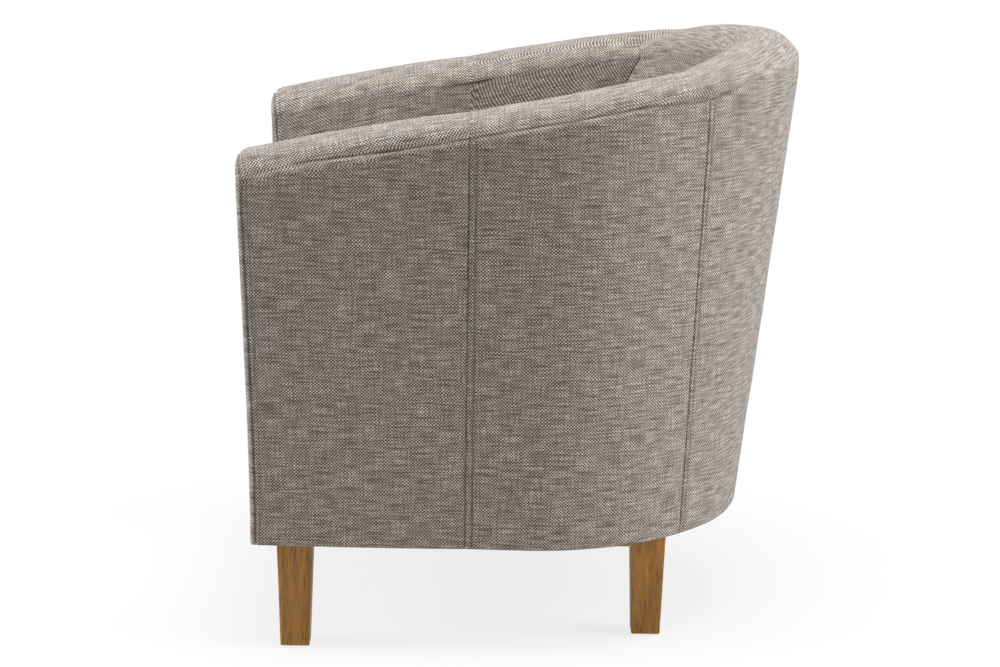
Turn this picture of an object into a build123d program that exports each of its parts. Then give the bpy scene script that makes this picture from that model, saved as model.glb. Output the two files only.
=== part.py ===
from build123d import *
import os
from math import acos, atan, atan2, cos, degrees, hypot, pi, sin, tan
from typing import NamedTuple

# A tub chair: a horseshoe-shaped padded wall around a sprung seat, on four tapered wooden legs.
# Millimetres, +Z up, the sitter faces -Y, +X is the sitter's left. The origin is on the floor,
# under the middle of the chair.

# Outside of the upholstered body
BODY_BOTTOM = 130.0           # underside of the body above the floor
ARM_HEIGHT = 608.0            # crest of the rolled edge at the arm fronts
BACK_HEIGHT = 725.0           # crest of the rolled edge at the middle of the back
TOP_HALF_WIDTH = 339.0        # at the top of the wall, where the tub is widest
TOP_FRONT_Y = -339.0
TOP_REAR_Y = 340.0
CORNER_START_Y = 10.0         # where the straight sides run into the rounded back
ARM_TOE_IN = 8.0              # how much closer to the middle the arm fronts stand
SIDE_FLARE = 55.0             # how far the sides lean outwards between the underside and the top
FRONT_LEAN = 15.0             # how far the arm fronts lean forwards
BACK_LEAN = 64.0              # how far the back leans backwards
ROLL_HEIGHT = 32.0            # crest of the rolled edge above the top of the wall
WALL = 96.0                   # thickness of the padded wall at its top
BASE_WALL = 58.0              # thickness of the padded sides at the underside
BACK_BASE_WALL = 71.0         # thickness of the padded back at the underside

TOP_FRONT_HALF_WIDTH = TOP_HALF_WIDTH - ARM_TOE_IN
BOTTOM_HALF_WIDTH = TOP_HALF_WIDTH - SIDE_FLARE
BOTTOM_FRONT_HALF_WIDTH = BOTTOM_HALF_WIDTH - ARM_TOE_IN
BOTTOM_FRONT_Y = TOP_FRONT_Y + FRONT_LEAN
BOTTOM_REAR_Y = TOP_REAR_Y - BACK_LEAN
INSIDE_HALF_WIDTH = BOTTOM_HALF_WIDTH - BASE_WALL
INSIDE_FRONT_HALF_WIDTH = INSIDE_HALF_WIDTH - ARM_TOE_IN
INSIDE_REAR_Y = BOTTOM_REAR_Y - BACK_BASE_WALL

# Seams of the cover
MID_SEAM_Y = -68.0
REAR_SEAM_BOTTOM_Y = BOTTOM_REAR_Y - 82.0
REAR_SEAM_TOP_Y = TOP_REAR_Y - 128.0
INSIDE_CREASE_Y = TOP_REAR_Y - 168.0    # where the inside arm meets the inside back

# Layers of the wall
COVER = 3.0                   # woven fabric with its stitched wadding
BOARD = 3.0                   # bent hardboard
FACING_PAD = 12.0             # foam on the arm fronts
LINER_INSET = BASE_WALL - 12.0    # outside face of the inner hardboard, from the outside of the wall
LAYER_GAP = 0.3               # room between curved layers
FRAME_INSET = COVER + BOARD + 2 * LAYER_GAP
FRONT_INSET = COVER + FACING_PAD + LAYER_GAP

# Timber and plywood frame
PLY = 18.0
BASE_RIM_WIDTH = 85.0
POST_WIDTH = 45.0
FRONT_POST_WIDTH = 25.0
POST_DEPTH = 28.0
FRONT_POST_DEPTH = LINER_INSET - FRAME_INSET - 1.4
TOP_RIM_WIDTH = FRONT_POST_DEPTH
RAIL_THICKNESS = 25.0
RAIL_HEIGHT = 60.0
SIDE_RAIL_INNER_X = INSIDE_HALF_WIDTH - 3.0
REAR_RAIL_Y = INSIDE_REAR_Y - 65.0         # rear face of the rear seat rail
REAR_POST_Y = REAR_RAIL_Y - 45.0
BLOCK_SIZE = 64.0
BLOCK_HEIGHT = 30.0

# Fasteners
SCREW_DIAMETER = 5.0
SCREW_HEAD_DIAMETER = 9.0
POST_SCREW_LENGTH = 50.0
RAIL_SCREW_LENGTH = 32.0
DOWEL_DIAMETER = 8.0
DOWEL_LENGTH = 36.0
DOWEL_SPACING = 30.0
BOLT_DIAMETER = 8.0
BOLT_WOOD_DIAMETER = 6.5
BOLT_WOOD_LENGTH = 40.0
BOLT_HOLE = 9.0
NUT_BARREL_DIAMETER = 10.0
NUT_BARREL_LENGTH = 10.0
NUT_FLANGE_DIAMETER = 19.0
NUT_FLANGE = 1.6
BOLT_STICKS_OUT = 2.0         # bolt end above the nut
STAPLE_CROWN = 11.0
STAPLE_WIRE = 1.0
STAPLE_LEG = 8.0
STAPLE_INSET = 12.0           # from the edge of the body
STAPLES_ON_BACK = 7
STAPLES_ON_SIDE = 6

# Sprung seat
SEAT_HEIGHT = 440.0           # crown of the seat
SEAT_BUILD = 140.0            # from the top of the seat rails to the crown
SEAT_CLEARANCE = 3.0          # room between the seat and the inside of the tub
SEAT_FRONT_Y = BOTTOM_FRONT_Y + 5.0
SEAT_FRONT_BOW = 8.0          # how far the front swells between its corners
SEAT_CROWN = 85.0             # crown above the front corners of the seat
SEAT_EDGE_RADIUS = 28.0
FELT = 4.0
WIRE = 3.6
SPRING_COUNT = 4
SPRING_SPACING = 2 * SIDE_RAIL_INNER_X / (SPRING_COUNT + 0.5)
SPRING_WIDTH = 52.0
SPRING_RUNS = 20              # cross wires in each spring
CLIP_WIDTH = 18.0
CLIP_PLATE = 1.5
CLIP_TAIL = 14.0

# Front below the seat
APRON_Y = BOTTOM_FRONT_Y + 8.0
APRON_HALF_WIDTH = INSIDE_FRONT_HALF_WIDTH - 2.0

# Legs
DUST_COVER = 1.0
LEG_TOP = 43.0
LEG_BOTTOM = 35.0
LEG_EDGE = 2.0               # rounding of the long edges
LEG_CHAMFER = 1.0            # chamfer around the foot
FRONT_LEG_X = BOTTOM_FRONT_HALF_WIDTH - 29.0
FRONT_LEG_Y = BOTTOM_FRONT_Y + 53.0
REAR_LEG_X = BOTTOM_HALF_WIDTH - 97.0
REAR_LEG_Y = BOTTOM_REAR_Y - 120.0
GLIDE_DIAMETER = 10.0
GLIDE_FLAT = 6.0
GLIDE_HEIGHT = 2.5
GLIDE_NAIL_DIAMETER = 2.2
GLIDE_NAIL_LENGTH = 16.0

SIDES = (("left", 1), ("right", -1))
LEG_PLACES = {
    "leg_front_left": (FRONT_LEG_X, FRONT_LEG_Y),
    "leg_front_right": (-FRONT_LEG_X, FRONT_LEG_Y),
    "leg_rear_left": (REAR_LEG_X, REAR_LEG_Y),
    "leg_rear_right": (-REAR_LEG_X, REAR_LEG_Y),
}

# The top of the wall lies in one plane that climbs towards the back, and the roll stands on it
SLOPE = atan((BACK_HEIGHT - ARM_HEIGHT) / (TOP_REAR_Y - WALL / 2 - TOP_FRONT_Y))
SHOULDER_Z = ARM_HEIGHT - TOP_FRONT_Y * tan(SLOPE) - ROLL_HEIGHT / cos(SLOPE)
SHOULDER = Plane(origin=(0, 0, SHOULDER_Z), x_dir=(1, 0, 0), z_dir=(0, -sin(SLOPE), cos(SLOPE)))
BASE = Plane.XY.offset(BODY_BOTTOM)

FRONT_RAIL_Y = BOTTOM_FRONT_Y + FRONT_INSET    # front face of the front seat rail
SPRING_DECK = SEAT_HEIGHT - SEAT_BUILD         # top of the seat rails
RIM_BOTTOM = BODY_BOTTOM + DUST_COVER
RIM_TOP = RIM_BOTTOM + PLY
BLOCK_TOP = RIM_TOP + BLOCK_HEIGHT
FOAM_BOTTOM = SPRING_DECK + WIRE + 2 * CLIP_PLATE + FELT


class Outline(NamedTuple):
    """A horseshoe: two straight sides that run into half an oval around the back."""

    front_half_width: float
    half_width: float
    front_y: float
    rear_y: float
    corner_y: float


class Surface(NamedTuple):
    """A face of the wall, from an outline on the base to one on the shoulder, each with an inset."""

    bottom: Outline
    bottom_inset: float
    top: Outline
    top_inset: float


def on_slope(outline):
    """The same outline drawn on the sloping shoulder, where lengths along Y are longer."""
    stretch = 1 / cos(SLOPE)
    return outline._replace(
        front_y=outline.front_y * stretch,
        rear_y=outline.rear_y * stretch,
        corner_y=outline.corner_y * stretch,
    )


def narrowest(bottom, top, shoulder_y):
    """Least size of the inside, beside the seat, between one on the base and one on the shoulder."""
    climb = SHOULDER_Z + shoulder_y * tan(SLOPE) - BODY_BOTTOM
    return min(bottom + (top - bottom) * (z - BODY_BOTTOM) / climb for z in (FOAM_BOTTOM, SEAT_HEIGHT))


BOTTOM_OUTLINE = Outline(
    front_half_width=BOTTOM_FRONT_HALF_WIDTH,
    half_width=BOTTOM_HALF_WIDTH,
    front_y=BOTTOM_FRONT_Y,
    rear_y=BOTTOM_REAR_Y,
    corner_y=CORNER_START_Y,
)
TOP_OUTLINE = on_slope(
    Outline(
        front_half_width=TOP_FRONT_HALF_WIDTH,
        half_width=TOP_HALF_WIDTH,
        front_y=TOP_FRONT_Y,
        rear_y=TOP_REAR_Y,
        corner_y=CORNER_START_Y,
    )
)
INSIDE_OUTLINE = BOTTOM_OUTLINE._replace(
    front_half_width=INSIDE_FRONT_HALF_WIDTH, half_width=INSIDE_HALF_WIDTH, rear_y=INSIDE_REAR_Y
)
SEAT_HALF_WIDTH = narrowest(INSIDE_HALF_WIDTH, TOP_HALF_WIDTH - WALL, CORNER_START_Y) - SEAT_CLEARANCE
SEAT_REAR_Y = narrowest(INSIDE_REAR_Y, TOP_REAR_Y - WALL, TOP_REAR_Y) - SEAT_CLEARANCE
SEAT_OUTLINE = Outline(
    front_half_width=SEAT_HALF_WIDTH - ARM_TOE_IN,
    half_width=SEAT_HALF_WIDTH,
    front_y=SEAT_FRONT_Y,
    rear_y=SEAT_REAR_Y,
    corner_y=CORNER_START_Y,
)
OUTSIDE = Surface(BOTTOM_OUTLINE, 0, TOP_OUTLINE, 0)
INSIDE = Surface(INSIDE_OUTLINE, 0, TOP_OUTLINE, WALL)


def horseshoe(outline, inset, front_inset):
    """Draws the outline, moved inwards, in the current line builder. Returns its two front ends."""
    # Two corner arcs and a back arc make half an oval
    depth = outline.rear_y - outline.corner_y
    diagonal = hypot(outline.half_width, depth)
    excess = (outline.half_width - depth) * diagonal
    corner_radius = (diagonal**2 - excess) / (2 * outline.half_width)
    meet = atan2(outline.half_width, depth)
    centre_x = outline.half_width - corner_radius
    radius = corner_radius - inset

    # Each straight side is the tangent from the arm front to its corner arc
    front_x = outline.front_half_width - inset - centre_x
    front_y = outline.front_y - outline.corner_y
    touch = atan2(front_y, front_x) + acos(radius / hypot(front_x, front_y))

    def on_corner(angle, sign):
        return (sign * (centre_x + radius * cos(angle)), outline.corner_y + radius * sin(angle))

    ends = []
    for sign in (1, -1):
        touch_x, touch_y = on_corner(touch, sign)
        along = front_inset / (touch_y - outline.front_y)
        front = (sign * (front_x + centre_x) * (1 - along) + touch_x * along, outline.front_y + front_inset)
        Line(front, (touch_x, touch_y))
        ThreePointArc((touch_x, touch_y), on_corner((touch + meet) / 2, sign), on_corner(meet, sign))
        ends.append(front)
    ThreePointArc(on_corner(meet, 1), (0, outline.rear_y - inset), on_corner(meet, -1))
    return ends


def wall_sketch(plane, outer, outer_inset, inner, inner_inset, front_inset):
    """A horseshoe-shaped ring between two outlines, closed across the arm fronts."""
    with BuildSketch(plane) as ring:
        with BuildLine():
            outer_left, outer_right = horseshoe(outer, outer_inset, front_inset)
            inner_left, inner_right = horseshoe(inner, inner_inset, front_inset)
            Line(outer_left, inner_left)
            Line(outer_right, inner_right)
        make_face()
    return ring.sketch


def wall_sections(outer, outer_inset, inner, inner_inset, front_inset):
    """The two ends of a layer of the wall, on the base and on the shoulder."""
    return [
        wall_sketch(
            BASE,
            outer.bottom,
            outer.bottom_inset + outer_inset,
            inner.bottom,
            inner.bottom_inset + inner_inset,
            front_inset,
        ),
        wall_sketch(
            SHOULDER,
            outer.top,
            outer.top_inset + outer_inset,
            inner.top,
            inner.top_inset + inner_inset,
            front_inset / cos(SLOPE),
        ),
    ]


def solid_sketch(plane, outline, inset, bow=0.0):
    """The whole area inside a horseshoe, with a straight or swelling front edge."""
    with BuildSketch(plane) as area:
        with BuildLine():
            left, right = horseshoe(outline, inset, inset)
            if bow:
                ThreePointArc(left, (0, left[1] - bow), right)
            else:
                Line(left, right)
        make_face()
    return area.sketch


def front_plane(inset):
    """The plane of the arm fronts, moved back by the inset. Its normal points to the back."""
    climb = SHOULDER_Z + (TOP_FRONT_Y + inset) * tan(SLOPE) - BODY_BOTTOM
    facing_back = Vector(0, TOP_FRONT_Y - BOTTOM_FRONT_Y, climb).cross(Vector(1, 0, 0))
    return Plane(origin=(0, BOTTOM_FRONT_Y + inset, BODY_BOTTOM), x_dir=(1, 0, 0), z_dir=facing_back)


def level(z):
    return Plane.XY.offset(z)


def across(y):
    """A plane across the chair. Its normal points to the back."""
    return Plane(origin=(0, y, 0), z_dir=(0, 1, 0))


def side_of(sign):
    """Which half of the chair to keep when it is cut down the middle."""
    return Keep.TOP if sign > 0 else Keep.BOTTOM


def save(part, name):
    part.label = name
    export_step(part, f"parts/{name}.step")


def roll_section(half_width, height, hollow):
    """Section of the rolled edge, across the front end of its path. A hollow one is a thin arch."""
    with BuildLine(SHOULDER) as path:
        horseshoe(TOP_OUTLINE, WALL / 2, -ROLL_HEIGHT)
    wire = Wire(path.line.edges())
    start = wire @ 0
    along = wire % 0
    lateral = SHOULDER.z_dir.cross(along)
    with BuildSketch(Plane(origin=start, x_dir=lateral, z_dir=along)) as section:
        with BuildLine():
            outer = EllipticalCenterArc((0, 0), half_width, height, 0, arc_size=180)
            if hollow:
                inner = EllipticalCenterArc((0, 0), half_width - COVER, height - COVER, 0, arc_size=180)
                Line(outer @ 0, inner @ 0)
                Line(outer @ 1, inner @ 1)
            else:
                Line(outer @ 0, outer @ 1)
        make_face()
    return section.sketch, wire


os.makedirs("parts", exist_ok=True)

MID_SEAM = across(MID_SEAM_Y)
INSIDE_CREASE = across(INSIDE_CREASE_Y)
REAR_SEAM_LEAN = atan((REAR_SEAM_TOP_Y - REAR_SEAM_BOTTOM_Y) / (BACK_HEIGHT - BODY_BOTTOM))
REAR_SEAM = Plane(
    origin=(0, REAR_SEAM_BOTTOM_Y, BODY_BOTTOM),
    x_dir=(1, 0, 0),
    z_dir=(0, cos(REAR_SEAM_LEAN), -sin(REAR_SEAM_LEAN)),
)
TOP_RIM_UNDERSIDE = SHOULDER.offset(-PLY)

# Outside panels of the cover, from the underside of the body up to the foot of the roll
outside_cover = wall_sections(OUTSIDE, 0, OUTSIDE, COVER, COVER)
for side, sign in SIDES:
    with BuildPart() as outside_arm_front:
        loft(outside_cover, ruled=True)
        split(bisect_by=Plane.YZ, keep=side_of(sign))
        split(bisect_by=MID_SEAM, keep=Keep.BOTTOM)
    save(outside_arm_front.part, f"outside_arm_front_cover_{side}")

    with BuildPart() as outside_arm_rear:
        loft(outside_cover, ruled=True)
        split(bisect_by=Plane.YZ, keep=side_of(sign))
        split(bisect_by=MID_SEAM, keep=Keep.TOP)
        split(bisect_by=REAR_SEAM, keep=Keep.BOTTOM)
    save(outside_arm_rear.part, f"outside_arm_rear_cover_{side}")

with BuildPart() as outside_back:
    loft(outside_cover, ruled=True)
    split(bisect_by=REAR_SEAM, keep=Keep.TOP)
save(outside_back.part, "outside_back_cover")

# Inside panels of the cover, which run up from the seat and over the roll to its outside foot
inside_cover = wall_sections(INSIDE, -COVER, INSIDE, 0, COVER)
arch_section, crest = roll_section(WALL / 2, ROLL_HEIGHT, hollow=True)
with BuildPart() as inside_whole:
    loft(inside_cover, ruled=True)
    split(bisect_by=level(FOAM_BOTTOM), keep=Keep.TOP)
    sweep(arch_section, path=crest)
    split(bisect_by=front_plane(COVER), keep=Keep.TOP)

for side, sign in SIDES:
    with BuildPart() as inside_arm_front:
        add(inside_whole.part)
        split(bisect_by=Plane.YZ, keep=side_of(sign))
        split(bisect_by=MID_SEAM, keep=Keep.BOTTOM)
    save(inside_arm_front.part, f"inside_arm_front_cover_{side}")

    with BuildPart() as inside_arm_rear:
        add(inside_whole.part)
        split(bisect_by=Plane.YZ, keep=side_of(sign))
        split(bisect_by=MID_SEAM, keep=Keep.TOP)
        split(bisect_by=INSIDE_CREASE, keep=Keep.BOTTOM)
    save(inside_arm_rear.part, f"inside_arm_rear_cover_{side}")

with BuildPart() as inside_back:
    add(inside_whole.part)
    split(bisect_by=INSIDE_CREASE, keep=Keep.TOP)
save(inside_back.part, "inside_back_cover")

# Arm fronts: a facing panel of the cover over a thin foam pad
roll_fill, crest = roll_section(WALL / 2, ROLL_HEIGHT, hollow=False)
pad_inset = COVER + LAYER_GAP
pad_fill, crest = roll_section(WALL / 2 - pad_inset, ROLL_HEIGHT - pad_inset, hollow=False)
for side, sign in SIDES:
    with BuildPart() as facing:
        loft(wall_sections(OUTSIDE, 0, INSIDE, 0, 0), ruled=True)
        sweep(roll_fill, path=crest)
        split(bisect_by=front_plane(0), keep=Keep.TOP)
        split(bisect_by=front_plane(COVER), keep=Keep.BOTTOM)
        split(bisect_by=Plane.YZ, keep=side_of(sign))
    save(facing.part, f"arm_front_facing_{side}")

    with BuildPart() as facing_pad:
        loft(wall_sections(OUTSIDE, COVER, INSIDE, -COVER, COVER), ruled=True)
        split(bisect_by=front_plane(COVER + FACING_PAD), keep=Keep.BOTTOM)
        split(bisect_by=level(RIM_BOTTOM), keep=Keep.TOP)
        split(bisect_by=Plane.YZ, keep=side_of(sign))
    save(facing_pad.part, f"arm_front_pad_{side}")

# Foam: the roll that stands on the shoulder, and the pads inside the arms and the back
with BuildPart() as roll_pad:
    sweep(pad_fill, path=crest)
    split(bisect_by=front_plane(COVER), keep=Keep.TOP)
save(roll_pad.part, "top_roll_foam")

foam_inset = LINER_INSET + BOARD + LAYER_GAP
inside_foam = wall_sections(OUTSIDE, foam_inset, INSIDE, -COVER - LAYER_GAP, FRONT_INSET)
for side, sign in SIDES:
    with BuildPart() as arm_foam:
        loft(inside_foam, ruled=True)
        split(bisect_by=level(FOAM_BOTTOM), keep=Keep.TOP)
        split(bisect_by=Plane.YZ, keep=side_of(sign))
        split(bisect_by=INSIDE_CREASE, keep=Keep.BOTTOM)
    save(arm_foam.part, f"inside_arm_foam_{side}")

with BuildPart() as back_foam:
    loft(inside_foam, ruled=True)
    split(bisect_by=level(FOAM_BOTTOM), keep=Keep.TOP)
    split(bisect_by=INSIDE_CREASE, keep=Keep.TOP)
save(back_foam.part, "inside_back_foam")

# Hardboard: panels under the outside cover, and the liner that the inside foam is glued to
board_inset = COVER + LAYER_GAP
outside_board = wall_sections(OUTSIDE, board_inset, OUTSIDE, board_inset + BOARD, FRONT_INSET)
for side, sign in SIDES:
    with BuildPart() as arm_board:
        loft(outside_board, ruled=True)
        split(bisect_by=level(RIM_BOTTOM), keep=Keep.TOP)
        split(bisect_by=Plane.YZ, keep=side_of(sign))
        split(bisect_by=REAR_SEAM, keep=Keep.BOTTOM)
    save(arm_board.part, f"outside_arm_board_{side}")

with BuildPart() as back_board:
    loft(outside_board, ruled=True)
    split(bisect_by=level(RIM_BOTTOM), keep=Keep.TOP)
    split(bisect_by=REAR_SEAM, keep=Keep.TOP)
save(back_board.part, "outside_back_board")

with BuildPart() as liner:
    loft(wall_sections(OUTSIDE, LINER_INSET, OUTSIDE, LINER_INSET + BOARD, FRONT_INSET), ruled=True)
    split(bisect_by=level(FOAM_BOTTOM), keep=Keep.TOP)
save(liner.part, "inside_liner_board")

# Staples around the dust cover, in a row along each side and one across the back
staple_places = []
first_staple_y = FRONT_LEG_Y + LEG_TOP / 2 + STAPLE_CROWN
for index in range(STAPLES_ON_SIDE):
    staple_y = first_staple_y + index * (CORNER_START_Y - first_staple_y) / STAPLES_ON_SIDE
    share = (staple_y - BOTTOM_FRONT_Y) / (CORNER_START_Y - BOTTOM_FRONT_Y)
    edge_x = BOTTOM_FRONT_HALF_WIDTH + share * (BOTTOM_HALF_WIDTH - BOTTOM_FRONT_HALF_WIDTH)
    staple_places += [(sign * (edge_x - STAPLE_INSET), staple_y, 90) for _, sign in SIDES]
for index in range(STAPLES_ON_BACK):
    angle = pi * (index + 1) / (STAPLES_ON_BACK + 1)
    radius_x = BOTTOM_HALF_WIDTH - STAPLE_INSET - STAPLE_CROWN
    radius_y = BOTTOM_REAR_Y - CORNER_START_Y - STAPLE_INSET
    turn = degrees(atan2(radius_y * cos(angle), -radius_x * sin(angle)))
    staple_places.append((radius_x * cos(angle), CORNER_START_Y + radius_y * sin(angle), turn))

with BuildPart() as staples:
    for x, y, turn in staple_places:
        with Locations(Location((x, y, BODY_BOTTOM), (0, 0, turn))):
            Box(STAPLE_CROWN, STAPLE_WIRE, STAPLE_WIRE, align=(Align.CENTER, Align.CENTER, Align.MAX))
            with Locations(((STAPLE_CROWN - STAPLE_WIRE) / 2, 0), ((STAPLE_WIRE - STAPLE_CROWN) / 2, 0)):
                Box(STAPLE_WIRE, STAPLE_WIRE, STAPLE_LEG, align=(Align.CENTER, Align.CENTER, Align.MIN))
save(staples.part, "dust_cover_staples")

with BuildPart() as dust_cover:
    extrude(solid_sketch(BASE, BOTTOM_OUTLINE, COVER + LAYER_GAP), amount=DUST_COVER)
    with Locations([(x, y, BODY_BOTTOM) for x, y in LEG_PLACES.values()]):
        Cylinder(BOLT_HOLE / 2, DUST_COVER, align=(Align.CENTER, Align.CENTER, Align.MIN), mode=Mode.SUBTRACT)
    split(bisect_by=across(APRON_Y + COVER), keep=Keep.TOP)
    add(staples.part, mode=Mode.SUBTRACT)
save(dust_cover.part, "dust_cover")

# Frame posts between the two plywood rims, cut from the same horseshoe so that they follow its lean
post_screw_places = []
posts = {}
front_post_wall = wall_sections(OUTSIDE, FRAME_INSET, OUTSIDE, FRAME_INSET + FRONT_POST_DEPTH, FRONT_INSET)
post_wall = wall_sections(OUTSIDE, FRAME_INSET, OUTSIDE, FRAME_INSET + POST_DEPTH, FRONT_INSET)
for side, sign in SIDES:
    with BuildPart() as front_post:
        loft(front_post_wall, ruled=True)
        split(bisect_by=front_plane(FRONT_INSET + FRONT_POST_WIDTH), keep=Keep.BOTTOM)
        split(bisect_by=Plane.YZ, keep=side_of(sign))
    posts[f"front_post_{side}"] = front_post.part
    front_x = sign * (BOTTOM_FRONT_HALF_WIDTH - FRAME_INSET - FRONT_POST_DEPTH / 2)
    post_screw_places.append((front_x, FRONT_RAIL_Y + FRONT_POST_WIDTH / 2))

    for name, post_y in (("side_post", MID_SEAM_Y), ("rear_post", REAR_POST_Y)):
        with BuildPart() as post:
            loft(post_wall, ruled=True)
            split(bisect_by=across(post_y - POST_WIDTH / 2), keep=Keep.TOP)
            split(bisect_by=across(post_y + POST_WIDTH / 2), keep=Keep.BOTTOM)
            split(bisect_by=Plane.YZ, keep=side_of(sign))
        posts[f"{name}_{side}"] = post.part
        foot = post.part.faces().sort_by(Axis.Z)[0].center()
        post_screw_places.append((foot.X, foot.Y))

with BuildPart() as back_post:
    loft(post_wall, ruled=True)
    split(bisect_by=across(CORNER_START_Y), keep=Keep.TOP)
    split(bisect_by=Plane.YZ.offset(-POST_WIDTH / 2), keep=Keep.TOP)
    split(bisect_by=Plane.YZ.offset(POST_WIDTH / 2), keep=Keep.BOTTOM)
posts["back_post"] = back_post.part
foot = back_post.part.faces().sort_by(Axis.Z)[0].center()
post_screw_places.append((foot.X, foot.Y))

# Wood screws that hold each post down on the base rim, driven from below
with BuildPart() as post_screws:
    with Locations([(x, y, RIM_BOTTOM) for x, y in post_screw_places]):
        Cylinder(
            SCREW_DIAMETER / 2, POST_SCREW_LENGTH, align=(Align.CENTER, Align.CENTER, Align.MIN)
        )
        Cone(
            SCREW_HEAD_DIAMETER / 2,
            SCREW_DIAMETER / 2,
            SCREW_HEAD_DIAMETER / 2,
            align=(Align.CENTER, Align.CENTER, Align.MIN),
        )
save(post_screws.part, "post_screws")

# Seat rails, with the screws and dowels that join them
side_rail_x = SIDE_RAIL_INNER_X + RAIL_THICKNESS / 2
rail_z = SPRING_DECK - RAIL_HEIGHT / 2
rail_screw_ys = (FRONT_RAIL_Y + FRONT_POST_WIDTH / 2, MID_SEAM_Y, REAR_POST_Y)
with BuildPart() as rail_screws:
    for _, sign in SIDES:
        for y in rail_screw_ys:
            with Locations(Location((sign * SIDE_RAIL_INNER_X, y, rail_z), (0, 90 * sign, 0))):
                Cylinder(
                    SCREW_DIAMETER / 2, RAIL_SCREW_LENGTH, align=(Align.CENTER, Align.CENTER, Align.MIN)
                )
                Cone(
                    SCREW_HEAD_DIAMETER / 2,
                    SCREW_DIAMETER / 2,
                    SCREW_HEAD_DIAMETER / 2,
                    align=(Align.CENTER, Align.CENTER, Align.MIN),
                )
save(rail_screws.part, "seat_rail_screws")

front_rail_y = FRONT_RAIL_Y + RAIL_THICKNESS / 2
rear_rail_y = REAR_RAIL_Y - RAIL_THICKNESS / 2
with BuildPart() as dowels:
    for _, sign in SIDES:
        for y in (front_rail_y, rear_rail_y):
            for rise in (-DOWEL_SPACING / 2, DOWEL_SPACING / 2):
                with Locations(Location((sign * SIDE_RAIL_INNER_X, y, rail_z + rise), (0, 90, 0))):
                    Cylinder(DOWEL_DIAMETER / 2, DOWEL_LENGTH)
save(dowels.part, "seat_rail_dowels")

rail_length = REAR_RAIL_Y - FRONT_RAIL_Y
for side, sign in SIDES:
    with BuildPart() as side_rail:
        with Locations((sign * side_rail_x, (FRONT_RAIL_Y + REAR_RAIL_Y) / 2, rail_z)):
            Box(RAIL_THICKNESS, rail_length, RAIL_HEIGHT)
        for post in posts.values():
            add(post, mode=Mode.SUBTRACT)
        add(rail_screws.part, mode=Mode.SUBTRACT)
        add(dowels.part, mode=Mode.SUBTRACT)
    save(side_rail.part, f"seat_side_rail_{side}")

    with BuildPart() as packing_block:
        loft(
            wall_sections(OUTSIDE, FRAME_INSET + POST_DEPTH, INSIDE, RAIL_THICKNESS, FRONT_INSET), ruled=True
        )
        split(bisect_by=across(MID_SEAM_Y - POST_WIDTH / 2), keep=Keep.TOP)
        split(bisect_by=across(MID_SEAM_Y + POST_WIDTH / 2), keep=Keep.BOTTOM)
        split(bisect_by=level(SPRING_DECK - RAIL_HEIGHT), keep=Keep.TOP)
        split(bisect_by=level(SPRING_DECK), keep=Keep.BOTTOM)
        split(bisect_by=Plane.YZ.offset(sign * (SIDE_RAIL_INNER_X + RAIL_THICKNESS)), keep=side_of(sign))
        add(rail_screws.part, mode=Mode.SUBTRACT)
    save(packing_block.part, f"seat_rail_packing_{side}")

with BuildPart() as front_rail:
    with Locations((0, front_rail_y, (RIM_TOP + SPRING_DECK) / 2)):
        Box(2 * SIDE_RAIL_INNER_X, RAIL_THICKNESS, SPRING_DECK - RIM_TOP)
    add(dowels.part, mode=Mode.SUBTRACT)
save(front_rail.part, "seat_front_rail")

with BuildPart() as rear_rail:
    with Locations((0, rear_rail_y, rail_z)):
        Box(2 * SIDE_RAIL_INNER_X, RAIL_THICKNESS, RAIL_HEIGHT)
    add(dowels.part, mode=Mode.SUBTRACT)
save(rear_rail.part, "seat_rear_rail")

for name, post in posts.items():
    with BuildPart() as finished_post:
        add(post)
        split(bisect_by=level(RIM_TOP), keep=Keep.TOP)
        split(bisect_by=TOP_RIM_UNDERSIDE, keep=Keep.BOTTOM)
        add(post_screws.part, mode=Mode.SUBTRACT)
        add(rail_screws.part, mode=Mode.SUBTRACT)
    save(finished_post.part, name)

# Plywood rims: a wide one under the posts and a narrow sloping one on top of them
with BuildPart() as base_rim:
    loft(wall_sections(OUTSIDE, FRAME_INSET, OUTSIDE, FRAME_INSET + BASE_RIM_WIDTH, FRONT_INSET), ruled=True)
    split(bisect_by=level(RIM_BOTTOM), keep=Keep.TOP)
    split(bisect_by=level(RIM_TOP), keep=Keep.BOTTOM)
    split(bisect_by=across(FRONT_RAIL_Y), keep=Keep.TOP)
    with Locations([(x, y, RIM_BOTTOM) for x, y in LEG_PLACES.values()]):
        Cylinder(BOLT_HOLE / 2, PLY, align=(Align.CENTER, Align.CENTER, Align.MIN), mode=Mode.SUBTRACT)
    add(post_screws.part, mode=Mode.SUBTRACT)
    add(staples.part, mode=Mode.SUBTRACT)
save(base_rim.part, "base_rim")

with BuildPart() as top_rim:
    loft(wall_sections(OUTSIDE, FRAME_INSET, OUTSIDE, FRAME_INSET + TOP_RIM_WIDTH, FRONT_INSET), ruled=True)
    split(bisect_by=TOP_RIM_UNDERSIDE, keep=Keep.TOP)
save(top_rim.part, "top_rim")

with BuildPart() as front_base_rail:
    with Locations((0, front_rail_y, (RIM_BOTTOM + RIM_TOP) / 2)):
        Box(2 * BOTTOM_FRONT_HALF_WIDTH, RAIL_THICKNESS, PLY)
    add(base_rim.part, mode=Mode.SUBTRACT)
    split(bisect_by=Plane.YZ.offset(-INSIDE_FRONT_HALF_WIDTH), keep=Keep.TOP)
    split(bisect_by=Plane.YZ.offset(INSIDE_FRONT_HALF_WIDTH), keep=Keep.BOTTOM)
save(front_base_rail.part, "front_base_rail")

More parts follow.
